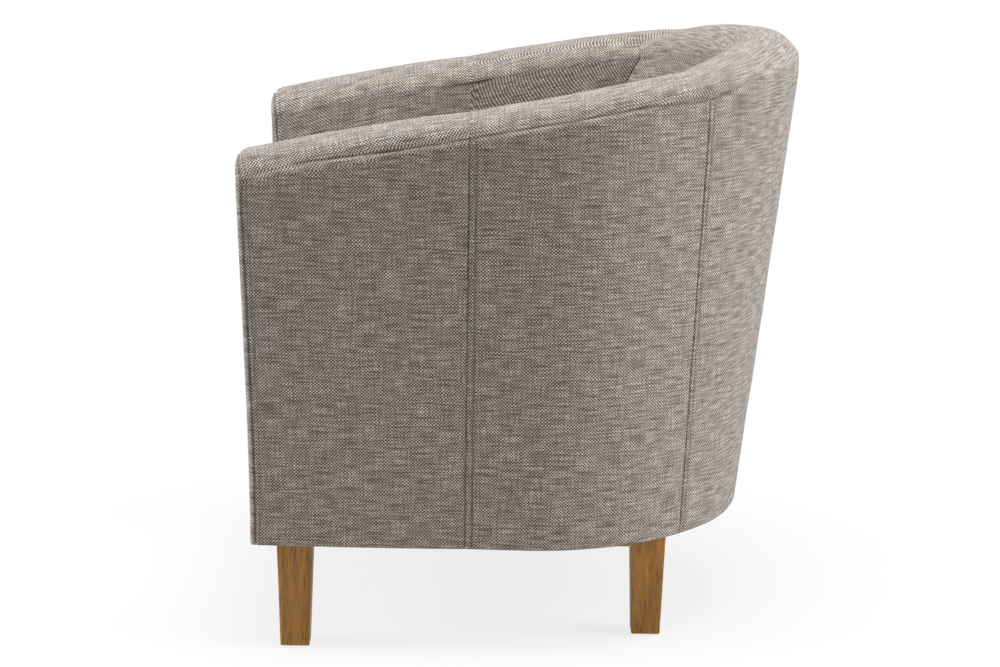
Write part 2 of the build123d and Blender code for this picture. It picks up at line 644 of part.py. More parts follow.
# Leg fixings: a corner block on the rim at each leg, with a flanged nut on top and a bolt from the leg
leg_places = list(LEG_PLACES.values())
with BuildPart() as rim_column:
    loft(wall_sections(OUTSIDE, FRAME_INSET, OUTSIDE, FRAME_INSET + BASE_RIM_WIDTH, FRONT_INSET), ruled=True)

with BuildPart() as corner_blocks:
    with Locations([(x, y, RIM_TOP) for x, y in leg_places]):
        Box(BLOCK_SIZE, BLOCK_SIZE, BLOCK_HEIGHT, align=(Align.CENTER, Align.CENTER, Align.MIN))
    add(rim_column.part, mode=Mode.INTERSECT)
    for post in posts.values():
        add(post, mode=Mode.SUBTRACT)
    add(front_rail.part, mode=Mode.SUBTRACT)
    with Locations([(x, y, BLOCK_TOP) for x, y in leg_places]):
        CounterBoreHole(BOLT_HOLE / 2, NUT_BARREL_DIAMETER / 2, NUT_BARREL_LENGTH, BLOCK_HEIGHT)
save(corner_blocks.part, "corner_blocks")

with BuildPart() as leg_nuts:
    with Locations([(x, y, BLOCK_TOP) for x, y in leg_places]):
        Cylinder(NUT_FLANGE_DIAMETER / 2, NUT_FLANGE, align=(Align.CENTER, Align.CENTER, Align.MIN))
        Cylinder(NUT_BARREL_DIAMETER / 2, NUT_BARREL_LENGTH, align=(Align.CENTER, Align.CENTER, Align.MAX))
    with Locations([(x, y, BLOCK_TOP + NUT_FLANGE) for x, y in leg_places]):
        Hole(BOLT_DIAMETER / 2, NUT_FLANGE + NUT_BARREL_LENGTH)
save(leg_nuts.part, "leg_nuts")

with BuildPart() as leg_bolts:
    with Locations([(x, y, BODY_BOTTOM) for x, y in leg_places]):
        Cylinder(
            BOLT_DIAMETER / 2,
            BLOCK_TOP + NUT_FLANGE + BOLT_STICKS_OUT - BODY_BOTTOM,
            align=(Align.CENTER, Align.CENTER, Align.MIN),
        )
        Cylinder(BOLT_WOOD_DIAMETER / 2, BOLT_WOOD_LENGTH, align=(Align.CENTER, Align.CENTER, Align.MAX))
save(leg_bolts.part, "leg_bolts")

# Legs and the glides nailed into them
for name, (x, y) in LEG_PLACES.items():
    with BuildPart() as leg:
        with BuildSketch(Plane(origin=(x, y, GLIDE_HEIGHT))):
            RectangleRounded(LEG_BOTTOM, LEG_BOTTOM, LEG_EDGE)
        with BuildSketch(Plane(origin=(x, y, BODY_BOTTOM))):
            RectangleRounded(LEG_TOP, LEG_TOP, LEG_EDGE)
        loft(ruled=True)
        chamfer(leg.faces().sort_by(Axis.Z)[0].edges(), LEG_CHAMFER)
        with Locations((x, y, BODY_BOTTOM)):
            Hole(BOLT_WOOD_DIAMETER / 2, BOLT_WOOD_LENGTH)
        with Locations((x, y, GLIDE_HEIGHT)):
            Cylinder(
                GLIDE_NAIL_DIAMETER / 2,
                GLIDE_NAIL_LENGTH,
                align=(Align.CENTER, Align.CENTER, Align.MIN),
                mode=Mode.SUBTRACT,
            )
    save(leg.part, name)

with BuildPart() as glides:
    with Locations([(x, y, 0) for x, y in leg_places]):
        Cone(
            GLIDE_FLAT / 2, GLIDE_DIAMETER / 2, GLIDE_HEIGHT, align=(Align.CENTER, Align.CENTER, Align.MIN)
        )
    with Locations([(x, y, GLIDE_HEIGHT) for x, y in leg_places]):
        Cylinder(GLIDE_NAIL_DIAMETER / 2, GLIDE_NAIL_LENGTH, align=(Align.CENTER, Align.CENTER, Align.MIN))
save(glides.part, "glides")

# Zigzag springs across the seat, from a clip on the front rail to one on the rear rail
spring_z = SPRING_DECK + CLIP_PLATE + WIRE / 2
spring_front_y = front_rail_y
spring_rear_y = rear_rail_y
run_pitch = (spring_rear_y - spring_front_y) / (SPRING_RUNS - 1)
spring_xs = [(index - (SPRING_COUNT - 1) / 2) * SPRING_SPACING for index in range(SPRING_COUNT)]


def spring_path(x):
    """One flat zigzag wire: straight runs across the seat, joined by half turns."""
    straight = SPRING_WIDTH - run_pitch
    with BuildLine(level(spring_z)) as path:
        for run in range(SPRING_RUNS):
            way = 1 if run % 2 == 0 else -1
            y = spring_front_y + run * run_pitch
            Line((x - way * straight / 2, y), (x + way * straight / 2, y))
            if run < SPRING_RUNS - 1:
                turn_x = x + way * straight / 2
                bulge_x = turn_x + way * run_pitch / 2
                ThreePointArc((turn_x, y), (bulge_x, y + run_pitch / 2), (turn_x, y + run_pitch))
    return Wire(path.line.edges())


with BuildPart() as springs:
    for x in spring_xs:
        wire_path = spring_path(x)
        with BuildSketch(Plane(origin=wire_path @ 0, z_dir=wire_path % 0)) as wire_section:
            Circle(WIRE / 2)
        sweep(wire_section.sketch, path=wire_path)
save(springs.part, "seat_springs")
print("least gap between runs of a spring:", round(run_pitch - WIRE, 2), "mm")

with BuildPart() as clips:
    for x in spring_xs:
        for y, way in ((spring_front_y, -1), (spring_rear_y, 1)):
            clip_side = Plane(origin=(x - CLIP_WIDTH / 2, y, spring_z), x_dir=(0, way, 0), z_dir=(way, 0, 0))
            with BuildSketch(clip_side):
                with Locations((0, 0)):
                    Circle(WIRE / 2 + CLIP_PLATE)
                with Locations((-CLIP_TAIL / 2, -way * (WIRE + CLIP_PLATE) / 2)):
                    Rectangle(CLIP_TAIL, CLIP_PLATE)
                with Locations((0, 0)):
                    Circle(WIRE / 2, mode=Mode.SUBTRACT)
            extrude(amount=way * CLIP_WIDTH)
save(clips.part, "spring_clips")

# Seat: felt over the springs, a crowned foam block and its cover, and the padded apron below
with BuildPart() as felt:
    extrude(solid_sketch(level(FOAM_BOTTOM - FELT), SEAT_OUTLINE, COVER), amount=FELT)
    split(bisect_by=across(APRON_Y + COVER), keep=Keep.TOP)
save(felt.part, "spring_felt")

seat_middle_y = (SEAT_FRONT_Y + SEAT_REAR_Y) / 2
corner_reach = hypot(SEAT_OUTLINE.front_half_width, seat_middle_y - SEAT_FRONT_Y)
crown_radius = (corner_reach**2 + SEAT_CROWN**2) / (2 * SEAT_CROWN)


def crowned_block(inset):
    """A block of the seat's outline with a domed top and rounded edge, moved in by the inset."""
    with BuildPart() as block:
        extrude(solid_sketch(level(FOAM_BOTTOM), SEAT_OUTLINE, inset, SEAT_FRONT_BOW), amount=SEAT_HEIGHT)
        with Locations((0, seat_middle_y, SEAT_HEIGHT - inset - crown_radius)):
            Sphere(crown_radius, mode=Mode.INTERSECT)
        top_edges = block.faces().sort_by(Axis.Z)[-1].edges()
        fillet(top_edges, SEAT_EDGE_RADIUS - inset)
    return block.part


seat_foam = crowned_block(COVER)
save(seat_foam, "seat_foam")

with BuildPart() as seat_cover:
    add(crowned_block(0))
    add(seat_foam, mode=Mode.SUBTRACT)
save(seat_cover.part, "seat_cover")

apron_height = FOAM_BOTTOM - BODY_BOTTOM
with BuildPart() as apron_cover:
    with Locations((0, APRON_Y, BODY_BOTTOM)):
        Box(2 * APRON_HALF_WIDTH, COVER, apron_height, align=(Align.CENTER, Align.MIN, Align.MIN))
save(apron_cover.part, "front_apron_cover")

apron_pad_depth = FRONT_RAIL_Y - APRON_Y - COVER
with BuildPart() as apron_pad:
    with Locations((0, APRON_Y + COVER, RIM_BOTTOM)):
        Box(
            2 * APRON_HALF_WIDTH,
            apron_pad_depth,
            SPRING_DECK - RIM_BOTTOM,
            align=(Align.CENTER, Align.MIN, Align.MIN),
        )
save(apron_pad.part, "front_apron_pad")
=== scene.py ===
# %% [markdown]
# # A fabric tub chair
#
# The chair is one padded wall, bent into a horseshoe around a sprung seat and carried by four
# tapered oak legs. Its frame, springs and foam already exist as CAD solids. This lesson keeps the
# hard pieces and sews the cover: the fabric panels, their seams and stitches, the padded roll that
# runs along the top, and the seat.

from math import atan, cos, pi, radians, sin, tan
from typing import NamedTuple

import bmesh
import bpy
import numpy as np
from mathutils import Matrix, Vector, noise


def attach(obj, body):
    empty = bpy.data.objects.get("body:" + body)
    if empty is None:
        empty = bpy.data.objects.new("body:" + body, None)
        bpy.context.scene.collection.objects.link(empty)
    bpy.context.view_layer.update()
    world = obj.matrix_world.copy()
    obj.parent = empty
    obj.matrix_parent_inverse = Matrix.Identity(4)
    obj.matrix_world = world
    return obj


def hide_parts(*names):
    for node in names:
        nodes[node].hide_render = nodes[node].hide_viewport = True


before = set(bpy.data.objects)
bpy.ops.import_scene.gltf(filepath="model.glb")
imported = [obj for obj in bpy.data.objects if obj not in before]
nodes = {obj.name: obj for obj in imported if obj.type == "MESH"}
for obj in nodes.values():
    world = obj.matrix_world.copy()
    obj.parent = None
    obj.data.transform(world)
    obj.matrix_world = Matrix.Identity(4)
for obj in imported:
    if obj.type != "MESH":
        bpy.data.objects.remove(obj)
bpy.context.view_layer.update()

# %% [markdown]
# ## The camera
#
# A product photo of a chair is taken with a long lens from a few metres away, so that the legs stay
# nearly parallel. The camera is placed first, because every later look at the render depends on it.
# It stands on the sitter's left, a little above the back, tipped down and rolled very slightly.

# %% A helper that adds an object to the scene
def place_object(name, data):
    """A new object, linked to the scene."""
    made = bpy.data.objects.new(name, data)
    bpy.context.scene.collection.objects.link(made)
    return made


# %% Place the camera
IMAGE_WIDTH = 1000
FOCAL_PIXELS = 2720.0
SENSOR_MM = 36.0
CAMERA_PLACE = Vector((3.3952, -0.0645, 1.0683))
CAMERA_PITCH = radians(12.20)
CAMERA_YAW = radians(-0.643)
CAMERA_ROLL = radians(0.9)

ahead = Vector((-cos(CAMERA_YAW), -sin(CAMERA_YAW), 0))
level_right = Vector((-sin(CAMERA_YAW), cos(CAMERA_YAW), 0))
look = ahead * cos(CAMERA_PITCH) - Vector((0, 0, sin(CAMERA_PITCH)))
level_down = -Vector((0, 0, cos(CAMERA_PITCH))) - ahead * sin(CAMERA_PITCH)
picture_right = level_right * cos(CAMERA_ROLL) - level_down * sin(CAMERA_ROLL)
picture_down = level_right * sin(CAMERA_ROLL) + level_down * cos(CAMERA_ROLL)

camera = place_object("camera", bpy.data.cameras.new("camera"))
camera.data.sensor_width = SENSOR_MM
camera.data.lens = SENSOR_MM * FOCAL_PIXELS / IMAGE_WIDTH
camera.matrix_world = Matrix.Translation(CAMERA_PLACE) @ (
    Matrix((picture_right, -picture_down, -look)).transposed().to_4x4()
)
bpy.context.scene.camera = camera
print("lens:", round(camera.data.lens, 1), "mm")

# %% [markdown]
# ## Colour and nodes
#
# Colours are written the way a colour picker shows them, as sRGB hex values. Blender's shaders
# calculate in linear light, so one function converts them. A second small function adds a node to a
# material, sets its options and links its inputs. A few more give names to the nodes that every
# material here needs, which keeps each material short enough to read.

# %% Helpers for colours, nodes and materials
def linear(hex_colour):
    """An sRGB hex colour as linear RGBA."""
    channels = [int(hex_colour[i:i + 2], 16) / 255 for i in (1, 3, 5)]
    return [c / 12.92 if c <= 0.04045 else ((c + 0.055) / 1.055) ** 2.4 for c in channels] + [1.0]


def add_node(material, kind, inputs=None, **settings):
    """Adds a node. An input is a plain value, or an output socket of another node."""
    tree = material.node_tree
    made = tree.nodes.new(kind)
    for name, value in settings.items():
        setattr(made, name, value)
    for key, value in (inputs or {}).items():
        if isinstance(value, bpy.types.NodeSocket):
            tree.links.new(value, made.inputs[key])
        else:
            made.inputs[key].default_value = value
    return made


def new_material(name, **sockets):
    """A material whose Principled shader has these plain values."""
    material = bpy.data.materials.new(name)
    material.use_nodes = True
    principled = material.node_tree.nodes["Principled BSDF"]
    for socket, value in sockets.items():
        principled.inputs[socket.replace("_", " ")].default_value = value
    return material, principled


# %% Helpers for the nodes that come again and again
COLOUR_A, COLOUR_B, COLOUR_OUT = 6, 7, 2  # the colour sockets of a Mix node


def calculate(material, operation, *values, kind="ShaderNodeMath"):
    """One step of arithmetic."""
    return add_node(material, kind, dict(enumerate(values)), operation=operation).outputs[0]


def spread(material, value, low, high, to=(0.0, 1.0), **settings):
    """Stretches the range from low to high to another range."""
    inputs = {"Value": value, "From Min": low, "From Max": high, "To Min": to[0], "To Max": to[1]}
    return add_node(material, "ShaderNodeMapRange", inputs, **settings).outputs[0]


def stretched(material, place, scale):
    """Another scale along each axis, so that a noise becomes streaks."""
    return add_node(material, "ShaderNodeMapping", {"Vector": place, "Scale": scale}).outputs[0]


def speckle(material, place, grain, detail, **more):
    """A noise with specks of the given size."""
    inputs = {"Vector": place, "Scale": 1 / grain, "Detail": detail, **more}
    return add_node(material, "ShaderNodeTexNoise", inputs).outputs[0]


def mix_colours(material, share, first, second):
    """A colour between two others."""
    inputs = {0: share, COLOUR_A: first, COLOUR_B: second}
    return add_node(material, "ShaderNodeMix", inputs, data_type="RGBA").outputs[COLOUR_OUT]


def link_looks(material, shader, colour, height, strength, depth, invert=False):
    """Links a colour to the shader, and a bump with the depth of the real relief."""
    inputs = {"Strength": strength, "Distance": depth, "Height": height}
    bump = add_node(material, "ShaderNodeBump", inputs, invert=invert).outputs[0]
    material.node_tree.links.new(colour, shader.inputs["Base Color"])
    material.node_tree.links.new(bump, shader.inputs["Normal"])


# %% [markdown]
# ## The woven cover
#
# The cover is a plain weave of uneven linen yarn: a pale weft over a dark warp. To the eye that is a
# fine pepper and salt, with short streaks where a yarn has slubs, its thicker places. The pattern
# follows the cloth, so it reads the UV map of each panel, which is laid out in metres. Two sine waves
# multiplied together give the over and under of a plain weave.

# %% Lay out the threads
THREAD_SPACING = 0.0020  # a little coarser than in the picture, so that the weave shows
WANDER_LENGTH = 0.03  # the threads bend about this often
WANDER_REACH = 2 * THREAD_SPACING

cover_fabric, cover_shader = new_material(
    "greige_linen_weave", Roughness=0.92, Sheen_Weight=0.12, Sheen_Roughness=0.5, Specular_IOR_Level=0.2
)
cloth_map = add_node(cover_fabric, "ShaderNodeUVMap", uv_map="cloth").outputs[0]

# Hand-like unevenness: the threads wander a little from their straight lines
wander = add_node(
    cover_fabric,
    "ShaderNodeTexNoise",
    {"Vector": cloth_map, "Scale": 1 / WANDER_LENGTH, "Detail": 4.0, "Roughness": 0.7},
).outputs["Color"]
wander = calculate(cover_fabric, "SUBTRACT", wander, (0.5, 0.5, 0.5), kind="ShaderNodeVectorMath")
wander = calculate(cover_fabric, "MULTIPLY", wander, (WANDER_REACH,) * 3, kind="ShaderNodeVectorMath")
thread_map = calculate(cover_fabric, "ADD", cloth_map, wander, kind="ShaderNodeVectorMath")

cloth_axes = add_node(cover_fabric, "ShaderNodeSeparateXYZ", {0: thread_map})
waves = []
for axis in ("X", "Y"):
    turns = calculate(cover_fabric, "MULTIPLY", cloth_axes.outputs[axis], pi / THREAD_SPACING)
    waves.append(calculate(cover_fabric, "SINE", turns))
over_under = calculate(cover_fabric, "MULTIPLY", *waves)
print("threads lie", THREAD_SPACING * 1000, "mm apart")

# %% Spin the two yarns
SLUB_LENGTH = 0.03
YARN_WIDTH = THREAD_SPACING / 0.9
yarns, streaks = [], []
for stretch, dark, pale in (
    ((1 / SLUB_LENGTH, 1 / YARN_WIDTH, 1), "#847A70", "#D9CFC5"),       # weft
    ((1 / YARN_WIDTH, 1 / SLUB_LENGTH, 1), "#030202", "#50473F"),       # warp
):
    along = stretched(cover_fabric, thread_map, stretch)
    streak = speckle(cover_fabric, along, 1.0, 1.0)
    depth = spread(cover_fabric, streak, 0.3, 0.7)
    yarns.append(mix_colours(cover_fabric, depth, linear(dark), linear(pale)))
    streaks.append(streak)
weft, warp = yarns
print("yarns:", len(yarns), "with slubs about", SLUB_LENGTH * 1000, "mm long")

# %% Lay one yarn over the other
# Where the warp has a slub it is thicker, and covers more of the weft
slub = spread(cover_fabric, streaks[1], 0.3, 0.7, to=(-0.2, 0.2))
showing = calculate(cover_fabric, "SUBTRACT", over_under, slub)
weft_on_top = spread(cover_fabric, showing, -0.12, 0.12, interpolation_type="SMOOTHSTEP")
cloth_colour = mix_colours(cover_fabric, weft_on_top, warp, weft)

# Painted shade: the colour darkens along seams, stitch rows and the crease. Each panel says where that
# is.
painted_seam_shade = add_node(cover_fabric, "ShaderNodeAttribute", attribute_name="painted_seam_shade").outputs["Fac"]
cloth_colour = mix_colours(cover_fabric, painted_seam_shade, cloth_colour, linear("#382C23"))
link_looks(cover_fabric, cover_shader, cloth_colour, weft_on_top, 0.6, 0.0006)
print("woven:", cover_fabric.name, "with", len(cover_fabric.node_tree.nodes), "nodes")

# %% [markdown]
# ## The shape of the wall
#
# The cover lies on a wall that is wider at the top than at the bottom. Two horseshoes describe each
# face of it: one at the underside of the body, and one at the shoulder, a plane that climbs towards
# the back. A horseshoe is two straight sides that run into a half ellipse, so a formula can walk along
# it, from the right arm front at -1 over the back at 0 to the left arm front at 1. Working with whole
# arrays of points at once keeps this fast, so the formulas use numpy.

# %% Sizes of the wall, in metres
BODY_BOTTOM = 0.130
ARM_HEIGHT = 0.608
BACK_HEIGHT = 0.725
ROLL_HEIGHT = 0.032
WALL = 0.096
CORNER_START_Y = 0.010
BOTTOM_FRONT_Y = -0.324
TOP_FRONT_Y = -0.339
TOP_REAR_Y = 0.340
LINING_BOTTOM = 0.3143  # the inside is tucked in beside the seat
MID_SEAM_Y = -0.068
INSIDE_CREASE_Y = 0.150
REAR_SEAM_BOTTOM_Y = 0.194
REAR_SEAM_TOP_Y = 0.212
LINING_SEAM_LEAN, LINING_SEAM_FADE = 0.05, 0.08
DRAWN_IN = 0.004  # how far the arm front is pulled back below the roll
BACK_SHARE = 0.58  # how much of each half of the walk is on the ellipse


class Outline(NamedTuple):
    front_half: float
    half: float
    front_y: float
    rear_y: float
    corner_y: float


SLOPE = atan((BACK_HEIGHT - ARM_HEIGHT) / (TOP_REAR_Y - WALL / 2 - TOP_FRONT_Y))
SHOULDER_Z = ARM_HEIGHT - TOP_FRONT_Y * tan(SLOPE) - ROLL_HEIGHT / cos(SLOPE)
SHOULDER_UP = np.array((0, -sin(SLOPE), cos(SLOPE)))
BOTTOM_OUTLINE = Outline(0.276, 0.284, BOTTOM_FRONT_Y, 0.276, CORNER_START_Y)
INSIDE_OUTLINE = Outline(0.218, 0.226, BOTTOM_FRONT_Y, 0.205, CORNER_START_Y)
TOP_OUTLINE = Outline(
    0.331, 0.339, TOP_FRONT_Y / cos(SLOPE), TOP_REAR_Y / cos(SLOPE), CORNER_START_Y / cos(SLOPE)
)
print("shoulder climbs", round(SLOPE * 180 / pi, 1), "degrees")


# %% Walk along a horseshoe
def outline_xy(outline, inset, walk):
    """Points of the outline, moved inwards. A side is the tangent from the arm front to the ellipse."""
    half = outline.half - inset
    depth = outline.rear_y - outline.corner_y - inset
    front_x = outline.front_half - inset
    side_share = front_x / half
    front_share = (outline.front_y - outline.corner_y) / depth
    touch = np.arctan2(front_share, side_share) + np.arccos(1 / np.hypot(side_share, front_share))
    way = np.abs(walk)
    angle = pi / 2 + (touch - pi / 2) * np.minimum(way / BACK_SHARE, 1)
    x = half * np.cos(angle)
    y = outline.corner_y + depth * np.sin(angle)
    straight = np.maximum(way - BACK_SHARE, 0) / (1 - BACK_SHARE)
    x = x + (front_x - x) * straight
    y = y + (outline.front_y - y) * straight
    return np.copysign(x, walk), y


def on_base(outline, walk):
    x, y = outline_xy(outline, 0.0, walk)
    return np.stack((x, y, np.full_like(x, BODY_BOTTOM)), axis=-1)


def on_shoulder(inset, walk):
    x, y = outline_xy(TOP_OUTLINE, inset, walk)
    return np.stack((x, y * cos(SLOPE), SHOULDER_Z + y * sin(SLOPE)), axis=-1)


print("arm front, outside:", on_base(BOTTOM_OUTLINE, np.array(1.0)).round(3))

# %% [markdown]
# ## Rows of the cover
#
# A panel of the cover starts at the underside, climbs the outside, turns over the roll and runs down
# the inside to the seat. Each row of its grid is one station on that way. It knows how far up the wall
# it is, and how far round the roll. One formula then places a whole panel: a blend between a point on
# the base and a point on the roll.

# %% Stations from the underside over the roll to the seat
def crowded(count, pull):
    """Shares from 0 to 1 that lie closer together at both ends, where the seams are."""
    even = np.linspace(0, 1, count)
    return even - pull / (2 * pi) * np.sin(2 * pi * even)


OUTSIDE_ROWS, ROLL_ROWS, INSIDE_ROWS = 104, 64, 64
outside_rise = crowded(OUTSIDE_ROWS, 0.75)
roll_turn = pi * crowded(ROLL_ROWS + 2, 0.6)[1:-1]
inside_fall = crowded(INSIDE_ROWS, 0.5)
row_rise = np.concatenate((outside_rise, np.ones(ROLL_ROWS), 1 - inside_fall))[:, None]
row_turn = np.concatenate((np.zeros(OUTSIDE_ROWS), roll_turn, np.full(INSIDE_ROWS, pi)))[:, None]
row_inside = np.concatenate((np.zeros(OUTSIDE_ROWS + ROLL_ROWS), np.ones(INSIDE_ROWS)))[:, None] > 0
row_over = row_turn / pi  # 0 outside, 1 inside
roll_weight = np.sin(row_turn)
print("rows in a panel:", len(row_rise))


def wall_points(walk):
    """The bare wall under the cover. Its rows are the stations. The walk says how far along each one a
    point lies."""
    inset = WALL / 2 * (1 - np.cos(row_turn)) + 0 * walk  # one value for each point
    top = on_shoulder(inset, walk) + SHOULDER_UP * (ROLL_HEIGHT * roll_weight)[..., None]
    inside, outside = on_base(INSIDE_OUTLINE, walk), on_base(BOTTOM_OUTLINE, walk)
    bottom = np.where(row_inside[..., None], inside, outside)
    lowest = np.where(row_inside, (LINING_BOTTOM - BODY_BOTTOM) / (top[..., 2] - BODY_BOTTOM), 0.0)
    rise = lowest + (1 - lowest) * row_rise
    points = bottom + (top - bottom) * rise[..., None]

    # The roll leans forwards with the shoulder, so its end is pushed back to the plane of the arm
    # front. Below the roll the front is drawn in a little.
    near_front = np.clip((np.abs(walk) - BACK_SHARE) / (1 - BACK_SHARE), 0, 1) ** 3
    drawn_in = DRAWN_IN * np.sin(pi / 2 * np.clip(2.5 * rise, 0, 1)) * (1 - roll_weight)
    points[..., 1] += near_front * (roll_weight * ROLL_HEIGHT * sin(SLOPE) * 0.75 + drawn_in)
    return points


# %% Find the seams on the wall
def smooth_step(value, low, high):
    share = np.clip((value - low) / (high - low), 0, 1)
    return share * share * (3 - 2 * share)


def mid_seam_y(points):
    return np.full(points.shape[:-1], MID_SEAM_Y)


def rear_seam_y(points):
    """The rear seam leans up the outside, runs over the roll and leans forwards down the lining."""
    climb = (points[..., 2] - BODY_BOTTOM) / (BACK_HEIGHT - BODY_BOTTOM)
    outside_y = REAR_SEAM_BOTTOM_Y + (REAR_SEAM_TOP_Y - REAR_SEAM_BOTTOM_Y) * climb
    below_shoulder = np.maximum(SHOULDER_Z + points[..., 1] * tan(SLOPE) - points[..., 2], 0)
    inside_y = INSIDE_CREASE_Y - LINING_SEAM_LEAN * (1 - np.exp(-below_shoulder / LINING_SEAM_FADE))
    return outside_y + (inside_y - outside_y) * smooth_step(row_over, 0.35, 0.8)


def seam_walk(seam_y, sign):
    """Where each row meets a seam, by halving the range again and again."""
    near, far = np.zeros_like(row_rise), np.ones_like(row_rise)
    for _ in range(40):
        middle = (near + far) / 2
        points = wall_points(sign * middle)
        behind = points[..., 1] > seam_y(points)
        near, far = np.where(behind, middle, near), np.where(behind, far, middle)
    return sign * middle


SIDES = (("left", 1), ("right", -1))
FRONT_WALK = np.ones_like(row_rise)
print("mid seam at", seam_walk(mid_seam_y, 1).mean().round(3), "of the way to the arm front")

# %% [markdown]
# ## Padding, seams and creases
#
# Foam pushes the cover out between its seams, and every seam pulls it in. All of this is a height
# above the bare wall, so it is added up from bell curves: narrow ones for the seams, the rows of
# stitches and the crease, broad ones for the dips and humps of the roll. The same narrow bells say
# where shade is painted into the cloth's colour, along the seams, the stitch rows and the crease. A
# little unevenness keeps the cloth from looking moulded.

# %% Seams and rows of stitches
FRONT_SEAM, FRONT_STITCH = 0.007, 0.0135  # from the edge of the arm front
MID_STITCH, REAR_STITCH = 0.0085, 0.0065  # from their seams
LINE = 0.0012  # half the width of a seam line
HEM_RADIUS = 0.006
DEEPEST = -0.0026  # a board lies close under the outside


def bell(distance, width):
    return np.exp(-((distance / width) ** 2))


def round_off(distance, radius):
    """How far a rounded edge falls back from the sharp one."""
    inwards = radius - np.minimum(distance, radius)
    return np.sqrt(radius**2 - inwards**2) - radius


ON_OUTSIDE = 1 - smooth_step(row_over, 0.0, 0.12)
ON_LINING = smooth_step(row_over, 0.7, 0.9)
BELOW_ROLL = 1 - smooth_step(row_rise + row_over, 0.985, 1.0)


def front_edge(distance, stitched):
    """Height of the cloth beside the seam of the arm front, and the shade painted along the seam and
    its stitch row.
    """
    seam, row = bell(distance - FRONT_SEAM, LINE), bell(distance - FRONT_STITCH, LINE) * stitched
    return -0.0024 * seam - 0.0010 * row, 0.4 * seam + 0.15 * row


def mid_edge(distance, stitched):
    seen = 0.3 + 0.7 * ON_OUTSIDE
    seam, row = bell(distance, LINE) * seen, bell(distance - MID_STITCH, LINE) * seen * stitched
    dip = 0.0020 * bell(distance, 0.035) * roll_weight + 0.0020 * bell(distance, 0.03) * row_inside
    # The second value is shade painted along the seam and its stitch row
    return -0.0016 * seam - 0.0014 * row - dip, 0.22 * seam + 0.3 * row


def rear_edge(distance, stitched):
    """This seam shows outside and on the lining. The roll between them only dips."""
    seam = bell(distance, LINE) * np.maximum(BELOW_ROLL, ON_LINING)
    row = bell(distance - REAR_STITCH, LINE) * BELOW_ROLL * stitched
    dip = 0.0045 * bell(distance, 0.022) + 0.0045 * bell(distance, 0.06)
    dip = dip * smooth_step(row_over, 0.15, 0.6)
    # The second value is shade painted along the seam and its stitch row
    return -0.0014 * seam - 0.0009 * row - dip, 0.25 * seam + 0.15 * row


def front_rounding(distance):
    """The arm front is rounded off, most of all at the end of the roll."""
    return round_off(distance, 0.008 + 0.010 * roll_weight)


print("seam lines are", LINE * 2000, "mm wide")

# %% The crease under the roll
# It wanders: above the shoulder along the arm, down to the rear seam, and up again as it dies away
CREASE_Y = (
    -0.300, -0.216, -0.150, -0.090, 0.0, 0.100, 0.142, 0.160, 0.182, 0.210, 0.220, 0.243, 0.256,
    0.271, 0.290,
)
CREASE_RISE_MM = (11.0, 10.0, 6.5, 6.0, 5.8, 5.5, 4.0, 0.5, -2.0, -6.0, -5.0, -1.7, 2.0, 5.0, 10.0)
CREASE_DEPTH = (0.0, 0.7, 0.9, 0.4, 0.4, 0.8, 1.0, 1.0, 1.0, 1.0, 0.9, 0.8, 0.6, 0.35, 0.0)


def crease(points, from_shoulder):
    """Height of the fold, and the shade painted along it."""
    y = points[..., 1]
    above = from_shoulder - np.interp(y, CREASE_Y, np.array(CREASE_RISE_MM) / 1000)
    depth = np.interp(y, CREASE_Y, CREASE_DEPTH) * (row_over < 0.4)
    fold = -0.0024 * bell(above, 0.0016) - 0.0014 * bell(above, 0.010)
    hump = 0.0026 * bell(above - 0.016, 0.010)
    return depth * (fold + hump), 0.45 * depth * bell(above, LINE)


def unevenness(points, height, size):
    """A smooth random height for each point."""
    flat = points.reshape(-1, 3) / size
    values = [noise.noise(Vector(p)) for p in flat.tolist()]
    return height * np.array(values).reshape(points.shape[:-1])


print("crease from y =", CREASE_Y[0], "to", CREASE_Y[-1])


# %% Measure along a grid
def run_lengths(points, axis):
    """Distance walked along the rows or the columns of a grid of points."""
    steps = np.linalg.norm(np.diff(points, axis=axis), axis=-1)
    return np.insert(np.cumsum(steps, axis=axis), 0, 0.0, axis=axis)


def grid_normals(points):
    normals = np.cross(np.gradient(points, axis=1), np.gradient(points, axis=0))
    return normals / np.linalg.norm(normals, axis=-1, keepdims=True)


# %% [markdown]
# ## From a grid to a panel
#
# Blender makes the grid, with one call. Its points are then moved to their places on the chair, and
# the lengths along the rows and columns become the UV map, so the weave has the same size everywhere.
# A Solidify modifier gives the cloth its thickness, towards the inside.

# %% A helper that lays a grid of cloth
def object_from(build, name):
    """Turns a finished bmesh into an object in the scene."""
    mesh = bpy.data.meshes.new(name)
    build.to_mesh(mesh)
    build.free()
    return place_object(name, mesh)


